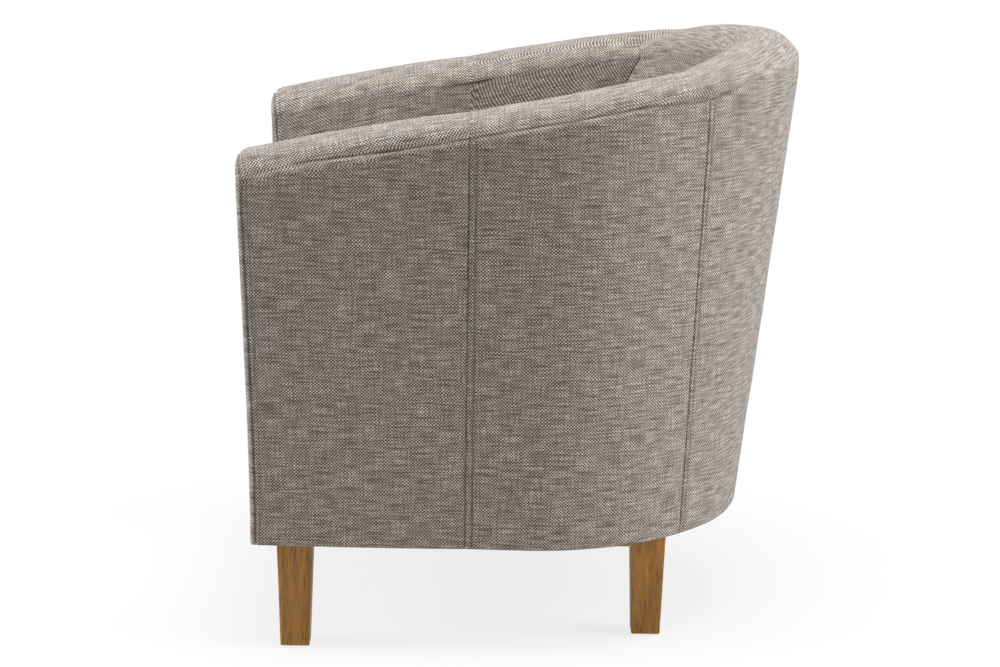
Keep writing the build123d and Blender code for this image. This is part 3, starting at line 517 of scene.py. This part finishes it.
def lay_grid(name, points, cloth_uv, upper_uv=None, break_row=None, painted_shade=None):
    """A mesh object from a bmesh grid, with its points moved to the given ones and its cloth UV map.
    Above the break row the cloth is another piece of fabric, with a UV map of its own."""
    rows, columns = points.shape[:2]
    grid = bmesh.new()
    bmesh.ops.create_grid(grid, x_segments=columns - 1, y_segments=rows - 1, size=1.0)
    grid.verts.index_update()
    stations = [
        (round((v.co.y + 1) / 2 * (rows - 1)), round((v.co.x + 1) / 2 * (columns - 1)))
        for v in grid.verts
    ]
    uv = grid.loops.layers.uv.new("cloth")
    for face in grid.faces:
        face.smooth = True
        lowest = min(stations[v.index][0] for v in face.verts)
        lengths = upper_uv if upper_uv is not None and lowest >= break_row else cloth_uv
        for loop in face.loops:
            loop[uv].uv = lengths[stations[loop.vert.index]]
    # Shade painted into the cloth along the seams and the crease, which the cover material reads
    shade_layer = grid.verts.layers.float.new("painted_seam_shade")
    for vertex in grid.verts:
        vertex.co = points[stations[vertex.index]]
        vertex[shade_layer] = 0.0 if painted_shade is None else painted_shade[stations[vertex.index]]
    return object_from(grid, name)


# %% Helpers that finish a piece
CLOTH = 0.0006  # thin, because boards lie close under it


def thicken(piece):
    thick = piece.modifiers.new("cloth_thickness", "SOLIDIFY")
    thick.thickness, thick.offset = CLOTH, -1


def dress(piece, material, replaced):
    """Gives a finished piece its material and its place in the table, and hides the CAD nodes it stands
    for.
    """
    piece.data.materials.append(material)
    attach(piece, "root")
    if replaced:
        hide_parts(*replaced)


# %% The relief of a panel
SHOULDER_ROUNDING = 0.0036  # at the arm fronts and at the back
LINING_SWELL, OUTSIDE_SWELL = 0.004, 0.0022
UNEVEN_HEIGHT, UNEVEN_SIZE = 0.0008, 0.075
# The most shade that is painted into the cloth along the seams and the crease
DARKEST_PAINTED_SHADE = 0.85


def panel_relief(bare, start_edge, start_stitched, end_edge, end_stitched, hump):
    """Height above the bare wall, and the shade painted into the cloth, for each point of a panel."""
    along, up = run_lengths(bare, 1), run_lengths(bare, 0)
    width = along[:, -1:]
    from_shoulder = up - up[OUTSIDE_ROWS - 1]
    middle = 1 - (2 * along / width - 1) ** 2
    start_height, start_shade = start_edge(along, start_stitched)
    end_height, end_shade = end_edge(width - along, end_stitched)
    fold, fold_shade = crease(bare, from_shoulder)
    at_ends = smooth_step(bare[..., 1], 0.26, 0.32) + 1 - smooth_step(bare[..., 1], -0.32, -0.22)
    fold = fold - SHOULDER_ROUNDING * bell(from_shoulder - 0.008, 0.020) * at_ends
    lining_swell = LINING_SWELL * row_inside * np.sin(pi * row_rise)
    swell = hump * roll_weight + lining_swell + OUTSIDE_SWELL * ON_OUTSIDE
    uneven = unevenness(bare, UNEVEN_HEIGHT, UNEVEN_SIZE)
    height = start_height + end_height + fold + middle * swell + uneven
    height = np.maximum(height, np.where(row_over > 0.1, -1, DEEPEST)) + round_off(up, HEM_RADIUS)
    for edge, distance in ((start_edge, along), (end_edge, width - along)):
        if edge is front_edge:
            height = height + front_rounding(distance)
    return height, np.clip(start_shade + end_shade + fold_shade, 0, DARKEST_PAINTED_SHADE)


# %% Turn the edges of a panel in
HEM_TURNS = (0.024, 0.014, 0.005)  # how far each row lies under the body
LINING_TUCKS = ((0.005, 0.0001), (0.014, 0.0003))  # how far in under the seat, and down
HEM_ROWS = len(HEM_TURNS)


def turn_edges(points, normals):
    """Turns the hem under the body, and tucks the lining in under the seat, but not over the apron."""
    points[0, :, 2] = BODY_BOTTOM
    under = [points[0] - normals[0] * (1, 1, 0) * turned for turned in HEM_TURNS]
    points[-1, :, 2] = LINING_BOTTOM
    behind_apron = 0.05 + 0.95 * smooth_step(points[-1, :, 1:2], -0.312, -0.300)
    tucked = [
        points[-1] + (normals[-1] * (turned, turned, 0) - (0, 0, drop)) * behind_apron
        for turned, drop in LINING_TUCKS
    ]
    return np.concatenate((np.array(under), points, np.array(tucked)))


# %% A helper that sews one panel
panels = {}


def sew_panel(name, start, end, count, hump, replaced, uv_shift):
    """A panel between two edges. Each edge is a walk, its seam and whether its topstitching is here."""
    share = crowded(count, 0.8)[None, :]
    bare = wall_points(start[0] + (end[0] - start[0]) * share)
    height, painted_shade = panel_relief(bare, *start[1:], *end[1:], hump)
    normals = grid_normals(bare)
    points = turn_edges(bare + normals * height[..., None], normals)
    # No shade is painted on the turned-in rows of the hem and the tuck
    painted_shade = np.pad(painted_shade, ((HEM_ROWS, len(LINING_TUCKS)), (0, 0)))
    across, climbed = run_lengths(points, 1), run_lengths(points, 0)
    shoulder_row = HEM_ROWS + OUTSIDE_ROWS - 1
    outside_uv = np.stack((across, climbed), axis=-1) + uv_shift
    lining_uv = np.stack((across, climbed - climbed[shoulder_row]), axis=-1) + uv_shift
    piece = lay_grid(name, points, outside_uv, lining_uv, shoulder_row, painted_shade)
    thicken(piece)
    dress(piece, cover_fabric, replaced)
    panels[name] = points
    print(name, points.shape[:2], "faces", len(piece.data.polygons))


# %% Sew the five panels
for side, sign in SIDES:
    front = (sign * FRONT_WALK, front_edge, True)
    mid = seam_walk(mid_seam_y, sign)
    rear = seam_walk(rear_seam_y, sign)
    edges = [front, (mid, mid_edge, False)][::sign]
    sew_panel(
        f"arm_front_{side}",
        *edges,
        count=84,
        hump=0.002,
        replaced=[f"outside_arm_front_cover_{side}", f"inside_arm_front_cover_{side}"],
        uv_shift=(0.31 * sign, 0.11),
    )
    edges = [(mid, mid_edge, True), (rear, rear_edge, False)][::sign]
    sew_panel(
        f"arm_rear_{side}",
        *edges,
        count=90,
        hump=-0.0022,
        replaced=[
            f"outside_arm_rear_cover_{side}", f"inside_arm_rear_cover_{side}", f"inside_arm_foam_{side}"
        ],
        uv_shift=(0.77 * sign, 0.053),
    )
sew_panel(
    "back",
    (seam_walk(rear_seam_y, 1), rear_edge, True),
    (seam_walk(rear_seam_y, -1), rear_edge, True),
    count=150,
    hump=0.0,
    replaced=["outside_back_cover", "inside_back_cover", "inside_back_foam", "top_roll_foam"],
    uv_shift=(1.37, 0.087),
)

# %% [markdown]
# ## The arm fronts
#
# A narrow facing closes the front of each arm. It is a cap over thin foam, so it swells forwards a
# little. Its outer edge is the front edge of the arm panel, and each row goes straight across from the
# outside of the arm to the inside. Over the roll the rows get shorter, up to the crest.

# %% Shape an arm front
FACING_COLUMNS = 28
FACING_SWELL = 0.0018
BESIDE_APRON_Y = -0.3095  # how far back the cloth goes beside the apron
INTO_ARM = (0.004, 0.0135)  # how far in and back it goes above the apron


def facing_edges(side, sign):
    """The outer edge of an arm front up to the crest, and the inner edge that each row runs to."""
    edge = panels[f"arm_front_{side}"][HEM_ROWS:, 0 if sign > 0 else -1]
    crest, lining = OUTSIDE_ROWS + ROLL_ROWS // 2, OUTSIDE_ROWS + ROLL_ROWS
    foot = on_base(INSIDE_OUTLINE, np.array([float(sign)]))[0] + np.array((sign * 0.0005, 0, 0))
    inner = foot + (edge[lining] - foot) * outside_rise[:, None]
    return edge[:crest], np.concatenate((inner, edge[crest:lining][::-1]))


def swollen_face(outer, inner, sign):
    first, last = (inner, outer)[::sign]
    share = crowded(FACING_COLUMNS, 0.7)[None, :, None]
    face = first[:, None] + (last - first)[:, None] * share
    across, up = run_lengths(face, 1), run_lengths(face, 0)
    to_edge = np.minimum(np.minimum(across, across[:, -1:] - across), up[-1:] - up)
    face[..., 1] -= FACING_SWELL * smooth_step(to_edge, 0, 0.03) - 0.0008 * bell(to_edge, 0.0025)
    return face


def turned_edge(inner, sign):
    """The cloth that is turned round the inner edge: back beside the apron, and into the arm above."""
    above_apron = smooth_step(inner[:, 2], LINING_BOTTOM - 0.007, LINING_BOTTOM + 0.002)
    behind_apron = BESIDE_APRON_Y - inner[:, 1]
    way_back = behind_apron + (INTO_ARM[1] - behind_apron) * above_apron
    turned = []
    for part in (1.0, 0.5, 0.15):
        turn = np.stack((sign * INTO_ARM[0] * above_apron, part * way_back, 0 * way_back), axis=-1)
        turned.append(inner + turn)
    return np.stack(turned[::sign], axis=1)


# %% Cap the arm fronts
for side, sign in SIDES:
    outer, inner = facing_edges(side, sign)
    strips = (turned_edge(inner, sign), swollen_face(outer, inner, sign))[::sign]
    points = np.concatenate(strips, axis=1)
    across, up = run_lengths(points, 1), run_lengths(points, 0)
    facing_uv = np.stack((across, up), axis=-1) + (2.1 * sign, 0.04)
    facing = lay_grid(f"arm_facing_{side}", points, facing_uv)
    thicken(facing)
    dress(facing, cover_fabric, [f"arm_front_facing_{side}", f"arm_front_pad_{side}"])
    print(facing.name, points.shape[:2], "faces", len(facing.data.polygons))

# %% [markdown]
# ## The seat and the apron
#
# Both are foam with cloth stretched over it, so they are made the way the cloth behaves: a copy of the
# CAD foam is turned into an even skin of small faces, and a short cloth simulation blows it up with a
# gentle pressure. Gravity is off. The foam rests on the springs, so its underside is pinned. How far
# a point may move is capped: freely upwards, a little at the front, and hardly at all where the arms
# hold the seat.

# %% Helpers for the mesh of a foam block
VOXEL = 0.006


def vertex_array(mesh, what="co"):
    values = np.empty(len(mesh.vertices) * 3)
    mesh.vertices.foreach_get(what, values)
    return values.reshape(-1, 3)


def bake_modifiers(piece):
    """Replaces a piece's mesh by what its modifiers make of it, and removes them."""
    depsgraph = bpy.context.evaluated_depsgraph_get()
    made = bpy.data.meshes.new_from_object(piece.evaluated_get(depsgraph))
    piece.modifiers.clear()
    old, piece.data = piece.data, made
    bpy.data.meshes.remove(old)
    made.name = piece.name


def even_skin(name, node):
    """A copy of a CAD foam block, as a skin of small even faces."""
    mesh = nodes[node].data.copy()
    piece = place_object(name, mesh)
    shell = bmesh.new()
    shell.from_mesh(mesh)
    bmesh.ops.remove_doubles(shell, verts=shell.verts, dist=0.0002)
    shell.to_mesh(mesh)
    shell.free()
    mesh.materials.clear()
    for layer in list(mesh.uv_layers):
        mesh.uv_layers.remove(layer)
    remesh = piece.modifiers.new("even_skin", "REMESH")
    remesh.mode, remesh.voxel_size = "VOXEL", VOXEL
    bake_modifiers(piece)
    return piece


# %% Helpers that blow up the skin
def blow_up(piece, held_points, pressure, frames):
    """The cloth simulation. It runs for a few frames, and its last one stays."""
    pinned = piece.vertex_groups.new(name="pinned")
    pinned.add(held_points, 1.0, "REPLACE")
    cloth = piece.modifiers.new("cloth", "CLOTH")
    settings = cloth.settings
    settings.vertex_group_mass = "pinned"
    settings.quality = 6
    settings.use_pressure = True
    settings.uniform_pressure_force = pressure
    settings.effector_weights.gravity = 0
    settings.tension_stiffness = settings.compression_stiffness = 25
    settings.bending_stiffness = 2
    cloth.point_cache.frame_end = frames
    for moment in range(1, frames + 1):
        bpy.context.scene.frame_set(moment)
    bake_modifiers(piece)
    bpy.context.scene.frame_set(1)


def padded_copy(name, node, start_shape, cap, pressure, frames):
    """A skin over a CAD foam block, inflated by a cloth simulation. It starts from a shape that leaves
    room for the swell. The cap gives each point its longest move."""
    piece = even_skin(name, node)
    start = start_shape(vertex_array(piece.data))
    piece.data.vertices.foreach_set("co", start.ravel())
    limit = cap(start, vertex_array(piece.data, "normal"))
    underside = np.nonzero(start[:, 2] < start[:, 2].min() + VOXEL)[0]
    blow_up(piece, underside.tolist(), pressure, frames)
    moved = vertex_array(piece.data) - start
    length = np.linalg.norm(moved, axis=1, keepdims=True)
    moved *= np.minimum(1, limit[:, None] / np.maximum(length, 1e-9))
    piece.data.vertices.foreach_set("co", (start + moved).ravel())
    longest = float(np.linalg.norm(moved, axis=1).max())
    print(name, len(start), "points, moved up to", round(longest * 1000, 1), "mm")
    return piece


# %% How the seat starts, and how far it may swell
SEAT_LIFT = 0.0038  # room for the tucked lining
SEAT_SHORTER, SEAT_WIDER = 0.985, 1.014


def seat_start(places):
    """Lower at the crown, fuller at the sides and shorter than the foam."""
    low, high = places.min(axis=0), places.max(axis=0)
    height = places[:, 2] - low[2]
    places[:, 2] = low[2] + SEAT_LIFT + height * (1.25 - 0.43 * height / height.max())
    middle_y = (low[1] + high[1]) / 2
    places[:, 1] = middle_y + (places[:, 1] - middle_y) * SEAT_SHORTER
    places[:, 0] *= SEAT_WIDER
    return places


def seat_cap(places, normals):
    upwards = np.clip(normals[:, 2], 0, 1)
    forwards = np.clip(-normals[:, 1], 0, 1) * (places[:, 1] < -0.25)
    return 0.001 + 0.024 * upwards**2 + 0.008 * forwards


# %% How the apron starts, and how far it may swell
APRON_LOWER, APRON_TALLER = 0.0022, 1.105  # it reaches from the hem line to the seat
APRON_FOOT, APRON_LEAN = 0.2179, 0.0577  # half its width, and how it grows with the height
APRON_FORWARD = 0.0045  # its top edge lies in front of the felt


def apron_start(places):
    """Taller than the pad, wider at the top, where the arms lean apart, with rounded top corners."""
    bottom = places[:, 2].min() - APRON_LOWER
    height = (places[:, 2] - places[:, 2].min()) * APRON_TALLER
    places[:, 2] = bottom + height
    places[:, 0] *= (APRON_FOOT + APRON_LEAN * height) / places[:, 0].max()
    places[:, 0] *= 1 - 0.024 * smooth_step(height, 0.174, 0.180)
    places[:, 1] -= APRON_FORWARD * smooth_step(height, 0.160, 0.172)
    return places


def apron_cap(places, normals):
    forwards = np.clip(-normals[:, 1], 0, 1)
    return 0.0005 + 0.006 * forwards**2


# %% Lay the weave over a padded block
def drape_uv(piece, shift):
    """A cloth map that runs across the block, and from its top over the front edge without a break."""
    mesh = piece.data
    places = vertex_array(mesh)
    cloth_uv = np.stack((places[:, 0] + shift[0], places[:, 1] + places[:, 2] + shift[1]), axis=1)
    corner_vertex = np.empty(len(mesh.loops), dtype=np.int32)
    mesh.loops.foreach_get("vertex_index", corner_vertex)
    layer = mesh.uv_layers.new(name="cloth")
    layer.data.foreach_set("uv", cloth_uv[corner_vertex].ravel())
    mesh.shade_smooth()


# %% Pad the seat and the apron
seat = padded_copy("seat", "seat_foam", seat_start, seat_cap, pressure=4.0, frames=16)
apron = padded_copy("front_apron", "front_apron_pad", apron_start, apron_cap, pressure=3.0, frames=10)
for piece, replaced, shift, fill in (
    (seat, ["seat_cover", "seat_foam"], (3.3, 0.4), 0.9),
    (apron, ["front_apron_cover", "front_apron_pad"], (3.3, 0.7), 0.8),
):
    finer = piece.modifiers.new("finer_skin", "SUBSURF")
    finer.levels = finer.render_levels = 1
    drape_uv(piece, shift)
    dress(piece, cover_fabric, replaced)

# %% [markdown]
# ## Topstitching
#
# A row of stitches runs beside each seam. One stitch is a low sphere, stretched to a short grain of
# thread. Its place comes from the panel itself: the points of the grid that lie the right distance
# from the edge make a line, and the stitches are spread along that line.

# %% Twist the thread
THREAD = 0.0009

# A twisted polyester thread: darker than the cloth, and a shade lighter where it catches the light
thread, thread_shader = new_material("taupe_polyester_thread", Roughness=0.6, Sheen_Weight=0.2)
thread_place = add_node(thread, "ShaderNodeTexCoord").outputs["Object"]
twist = speckle(thread, thread_place, THREAD, 1.0)
thread_colour = mix_colours(thread, twist, linear("#54483C"), linear("#847564"))
thread.node_tree.links.new(thread_colour, thread_shader.inputs["Base Color"])
print("thread:", thread.name, THREAD * 1000, "mm thick")

# %% Helpers that sew a row of stitches
STITCH_PITCH = 0.0044
STITCH_LENGTH = 0.0036
STITCH_LIFT = 0.0002  # a stitch lies a little above the cloth
LOOK_AHEAD = 0.002  # the next point on the line gives a stitch its direction


def stitch_line(points, distance, from_end):
    """The line of a panel that lies at a distance from one of its upright edges, with its normals."""
    grid, normals = points, grid_normals(points)
    if from_end:
        grid, normals = grid[:, ::-1], normals[:, ::-1]
    along = run_lengths(grid, 1)
    line, facing = [], []
    for row in range(len(grid)):
        column = int(np.searchsorted(along[row], distance))
        before, after = along[row, column - 1], along[row, column]
        share = (distance - before) / (after - before)
        line.append(grid[row, column - 1] + (grid[row, column] - grid[row, column - 1]) * share)
        facing.append(normals[row, column])
    return np.array(line), np.array(facing)


def sew_stitches(seam, line, facing):
    """Adds grains of thread to a bmesh, evenly along the line."""
    walked = np.insert(np.cumsum(np.linalg.norm(np.diff(line, axis=0), axis=1)), 0, 0)

    def after(length, values):
        return Vector([np.interp(length, walked, values[:, k]) for k in range(3)])

    size = Matrix.Diagonal((STITCH_LENGTH / 2, THREAD / 2, THREAD / 2, 1))
    for at in np.arange(STITCH_PITCH, walked[-1] - STITCH_PITCH, STITCH_PITCH):
        place, out = after(at, line), after(at, facing).normalized()
        run = (after(at + LOOK_AHEAD, line) - place).normalized()
        side = out.cross(run).normalized()
        turn = Matrix((run, side, out)).transposed().to_4x4()
        stitch = Matrix.Translation(place + out * STITCH_LIFT) @ turn @ size
        bmesh.ops.create_icosphere(seam, subdivisions=1, radius=1.0, matrix=stitch)


# %% Sew the rows
ICOSPHERE_FACES = 20
FIRST_ROW = HEM_ROWS + 2
OVER_ROLL = HEM_ROWS + OUTSIDE_ROWS + ROLL_ROWS
BELOW_SHOULDER = HEM_ROWS + OUTSIDE_ROWS - 6
stitch_rows = {
    "front_stitching": (("arm_front_left", False), ("arm_front_right", True), FRONT_STITCH, OVER_ROLL),
    "mid_stitching": (("arm_rear_left", False), ("arm_rear_right", True), MID_STITCH, OVER_ROLL),
    "rear_stitching": (("back", False), ("back", True), REAR_STITCH, BELOW_SHOULDER),
}
for name, (*routes, distance, last_row) in stitch_rows.items():
    seam = bmesh.new()
    for panel, from_end in routes:
        line, facing = stitch_line(panels[panel], distance, from_end)
        sew_stitches(seam, line[FIRST_ROW:last_row], facing[FIRST_ROW:last_row])
    for face in seam.faces:
        face.smooth = True
    stitches = object_from(seam, name)
    dress(stitches, thread, [])
    print(name, len(stitches.data.polygons) // ICOSPHERE_FACES, "stitches")

# %% [markdown]
# ## The dust cover
#
# A thin black non-woven cloth closes the body from below. It is stapled round the rim, so it hangs down
# a little in the middle. A grid from the front edge to the back, as wide as the body at each row, gives
# it its outline.

# %% Hang the dust cover
DUST_ROWS, DUST_COLUMNS = 60, 50
DUST_HEIGHT = BODY_BOTTOM + 0.0005
DUST_SAG = 0.006
SAG_HALF_WIDTH, SAG_FRONT_Y, SAG_REAR_Y, SAG_EDGE = 0.20, -0.29, 0.23, 0.1
# Its edge lies inside the edge of the body
dust_outline = BOTTOM_OUTLINE._replace(front_half=0.268, half=0.276, front_y=-0.306, rear_y=0.268)
turn = np.linspace(0, pi / 2, DUST_ROWS)[:, None]
edge_walk = 1 - (1 - np.cos(turn)) * 0.995  # the last row is short, but not a point
edge_x, edge_y = outline_xy(dust_outline, 0.0, edge_walk)
share = np.linspace(-1, 1, DUST_COLUMNS)[None, :]
dust_x, dust_y = share * edge_x, edge_y + 0 * share
hang = 1 - np.clip(np.abs(dust_x) / SAG_HALF_WIDTH, 0, 1) ** 2
for way_in in (dust_y - SAG_FRONT_Y, SAG_REAR_Y - dust_y):
    hang = hang * np.clip(way_in / SAG_EDGE, 0, 1)
sheet_points = np.stack((dust_x, dust_y, DUST_HEIGHT - DUST_SAG * hang), axis=-1)[:, ::-1]
dust_sheet = lay_grid("underside_cloth", sheet_points, sheet_points[..., :2] + 0.5)

# %% Black non-woven cloth
# Spunbond is pressed from loose fibres, which leaves a fine mottled grey in the black
FIBRE_MOTTLE = 0.0015
black_cloth, black_shader = new_material("black_spunbond_cloth", Roughness=0.85, Specular_IOR_Level=0.3)
black_map = add_node(black_cloth, "ShaderNodeUVMap", uv_map="cloth").outputs[0]
mottle = speckle(black_cloth, black_map, FIBRE_MOTTLE, 3.0)
black_colour = mix_colours(black_cloth, mottle, linear("#121212"), linear("#2C2C2B"))
link_looks(black_cloth, black_shader, black_colour, mottle, 0.3, 0.0003)
dress(dust_sheet, black_cloth, ["dust_cover"])
print("dust cover is", black_cloth.name)

# %% [markdown]
# ## Wood
#
# The legs are oak, stained to a warm brown and lacquered to a soft shine. Oak grain runs along the leg:
# broad streaks where the growth rings are cut, and fine dark pores. Both are noise, stretched along Z
# by a Mapping node. The frame inside is plain pine, birch plywood and hardboard.

# %% A helper for timber
def timber(name, dark, pale, pore, ring_width, pore_width, roughness, coat):
    """A wood with growth streaks and pores along Z, at their real widths."""
    wood, shader = new_material(name, Roughness=roughness, Coat_Weight=coat, Coat_Roughness=0.3)
    place = add_node(wood, "ShaderNodeTexCoord").outputs["Object"]
    ring_map = stretched(wood, place, (1 / ring_width, 1 / ring_width, 0.07 / ring_width))
    rings = spread(wood, speckle(wood, ring_map, 1.0, 4.0, Distortion=0.6), 0.35, 0.65)
    pore_map = stretched(wood, place, (1 / pore_width, 1 / pore_width, 0.05 / pore_width))
    pores = spread(wood, speckle(wood, pore_map, 1.0, 2.0), 0.56, 0.68)
    body = mix_colours(wood, rings, linear(dark), linear(pale))
    colour = mix_colours(wood, pores, body, linear(pore))
    link_looks(wood, shader, colour, pores, 0.25, 0.0002, invert=True)
    return wood


# %% Stain the legs and saw the frame timber
# Each has dark, pale and pore colours, then the widths of rings and pores, its roughness and its coat
leg_oak = timber("stained_oak", "#855814", "#B07824", "#623E0D", 0.006, 0.0012, 0.5, 0.05)
pine = timber("sawn_pine", "#C79E63", "#E0C08A", "#A87C46", 0.008, 0.0015, 0.7, 0.0)
birch_ply = timber("birch_plywood", "#CDAF80", "#E2CBA2", "#B08F60", 0.012, 0.0012, 0.6, 0.0)
print("woods:", leg_oak.name, pine.name, birch_ply.name)

# %% [markdown]
# ## The small hidden materials
#
# Boards, felt, steel and nylon differ mostly in colour, in the size of their grain and in how they
# shine. One helper mixes two shades by a noise of the right size and lets the same noise raise a bump.
# The foam needs no material, because the cover stands for it.

# %% A helper for grainy materials
def grainy(name, dark, pale, grain, bump, roughness, metallic=0.0):
    """A material of two shades, mottled at the size of its real grain."""
    material, shader = new_material(name, Roughness=roughness, Metallic=metallic)
    place = add_node(material, "ShaderNodeTexCoord").outputs["Object"]
    mottle = speckle(material, place, grain, 3.0)
    colour = mix_colours(material, mottle, linear(dark), linear(pale))
    link_looks(material, shader, colour, mottle, 0.4, bump)
    return material


# %% Mix the small materials
# Each has a dark and a pale shade, then the size of its grain, the depth of its bumps and its roughness
hardboard = grainy("pressed_hardboard", "#6B4A30", "#8A6644", 0.002, 0.0002, 0.7)
felt = grainy("needled_felt", "#7B7873", "#A29E97", 0.002, 0.0005, 0.95)
zinc_steel = grainy("zinc_plated_steel", "#A9ABAB", "#C9CBCC", 0.004, 0.00005, 0.35, metallic=1.0)
black_nylon = grainy("black_nylon", "#161616", "#232323", 0.001, 0.00005, 0.5)
print("small materials:", [m.name for m in (hardboard, felt, zinc_steel, black_nylon)])

# %% Give the CAD nodes their materials
finishes = {
    leg_oak: ("leg_front", "leg_rear"),
    black_nylon: ("glides",),
    zinc_steel: ("leg_bolts", "leg_nuts", "post_screws", "seat_rail_screws", "dust_cover_staples",
                 "seat_springs", "spring_clips"),
    birch_ply: ("base_rim", "top_rim"),
    hardboard: ("outside_arm_board", "outside_back_board", "inside_liner_board"),
    felt: ("spring_felt",),
    pine: ("front_post", "side_post", "rear_post", "back_post", "front_base_rail", "seat_front_rail",
           "seat_rear_rail", "seat_side_rail", "seat_rail_packing", "seat_rail_dowels",
           "corner_blocks"),
}
shown = [name for name in nodes if not nodes[name].hide_render]
for material, beginnings in finishes.items():
    for name in shown:
        if name.startswith(beginnings):
            nodes[name].data.materials.clear()
            nodes[name].data.materials.append(material)
            shown = [other for other in shown if other != name]
print("CAD nodes without a finish:", shown)

# %% [markdown]
# ## Floor and light
#
# The picture has a white ground. The floor is a large white plane, and to the camera and in
# reflections it shows as plain white, except close to the chair, where a soft shadow stays. Large area
# lamps give soft light from above, from behind and from the front. Only a very weak one stands on the
# camera's side, so the side of the arm is darker than the roll.

# %% Lay the floor
FLOOR_HALF = 30.0
ground = bmesh.new()
bmesh.ops.create_grid(ground, x_segments=1, y_segments=1, size=FLOOR_HALF)
floor = object_from(ground, "floor")
white_floor, floor_shader = new_material("white_paper", Roughness=0.9, Base_Color=linear("#D2D2D0"))
floor.data.materials.append(white_floor)
print("floor:", floor.dimensions.x, "m")

# %% Make the floor white to the eye
# Near the chair the paper shows its shade. Further off it is plain white to the eye and in reflections.
SHADE_NEAR, SHADE_FAR = 0.3, 1.1
rays = add_node(white_floor, "ShaderNodeLightPath").outputs
seen = calculate(white_floor, "MAXIMUM", rays["Is Camera Ray"], rays["Is Glossy Ray"])
seen = calculate(white_floor, "MAXIMUM", seen, rays["Is Transmission Ray"])
floor_place = add_node(white_floor, "ShaderNodeTexCoord").outputs["Object"]
away = add_node(
    white_floor, "ShaderNodeVectorMath", {0: floor_place}, operation="LENGTH"
).outputs["Value"]
whiteness = spread(
    white_floor, away, SHADE_NEAR, SHADE_FAR, to=(0.8, 1.0), interpolation_type="SMOOTHSTEP"
)
share = calculate(white_floor, "MULTIPLY", seen, whiteness)
plain_white = add_node(
    white_floor, "ShaderNodeEmission", {"Color": linear("#FFFFFF"), "Strength": 1.0}
).outputs[0]
paper = add_node(
    white_floor, "ShaderNodeMixShader", {0: share, 1: floor_shader.outputs[0], 2: plain_white}
).outputs[0]
surface = white_floor.node_tree.nodes["Material Output"].inputs["Surface"]
white_floor.node_tree.links.new(paper, surface)
print("floor is", white_floor.name, "with", len(white_floor.node_tree.nodes), "nodes")

# %% Hang the lamps
LAMP_AIM = Vector((0, 0, 0.4))


def area_lamp(name, place, size, power, colour):
    """A large soft lamp that looks at the middle of the chair."""
    data = bpy.data.lights.new(name, "AREA")
    data.shape, data.size, data.energy = "DISK", size, power
    data.color = linear(colour)[:3]
    lamp = place_object(name, data)
    lamp.location = place
    lamp.rotation_euler = (LAMP_AIM - Vector(place)).to_track_quat("-Z", "Y").to_euler()


# Place and size in metres, power in watts
area_lamp("top_light", (0.3, 0.2, 3.2), 2.0, 95, "#FFFFFF")
area_lamp("rear_light", (0.5, 3.0, 1.7), 1.6, 112, "#F8FBFF")
area_lamp("front_light", (0.3, -3.0, 1.5), 1.6, 100, "#FFFFFF")
area_lamp("camera_fill", (3.6, -0.4, 1.8), 2.0, 2, "#FFFFFF")

# %% A pale sky that looks white
SKY_LIGHT = 0.2  # what it gives the chair; the camera sees 1.0
world = bpy.data.worlds.new("studio")
world.use_nodes = True
bpy.context.scene.world = world
sky = world.node_tree.nodes["Background"]
sky.inputs["Color"].default_value = linear("#FFFFFF")
sky_rays = add_node(world, "ShaderNodeLightPath").outputs
sky_seen = calculate(world, "MAXIMUM", sky_rays["Is Camera Ray"], sky_rays["Is Transmission Ray"])
sky_strength = spread(world, sky_seen, 0.0, 1.0, to=(SKY_LIGHT, 1.0))
world.node_tree.links.new(sky_strength, sky.inputs["Strength"])
bpy.context.scene.view_settings.view_transform = "Standard"
print("sky:", world.name)
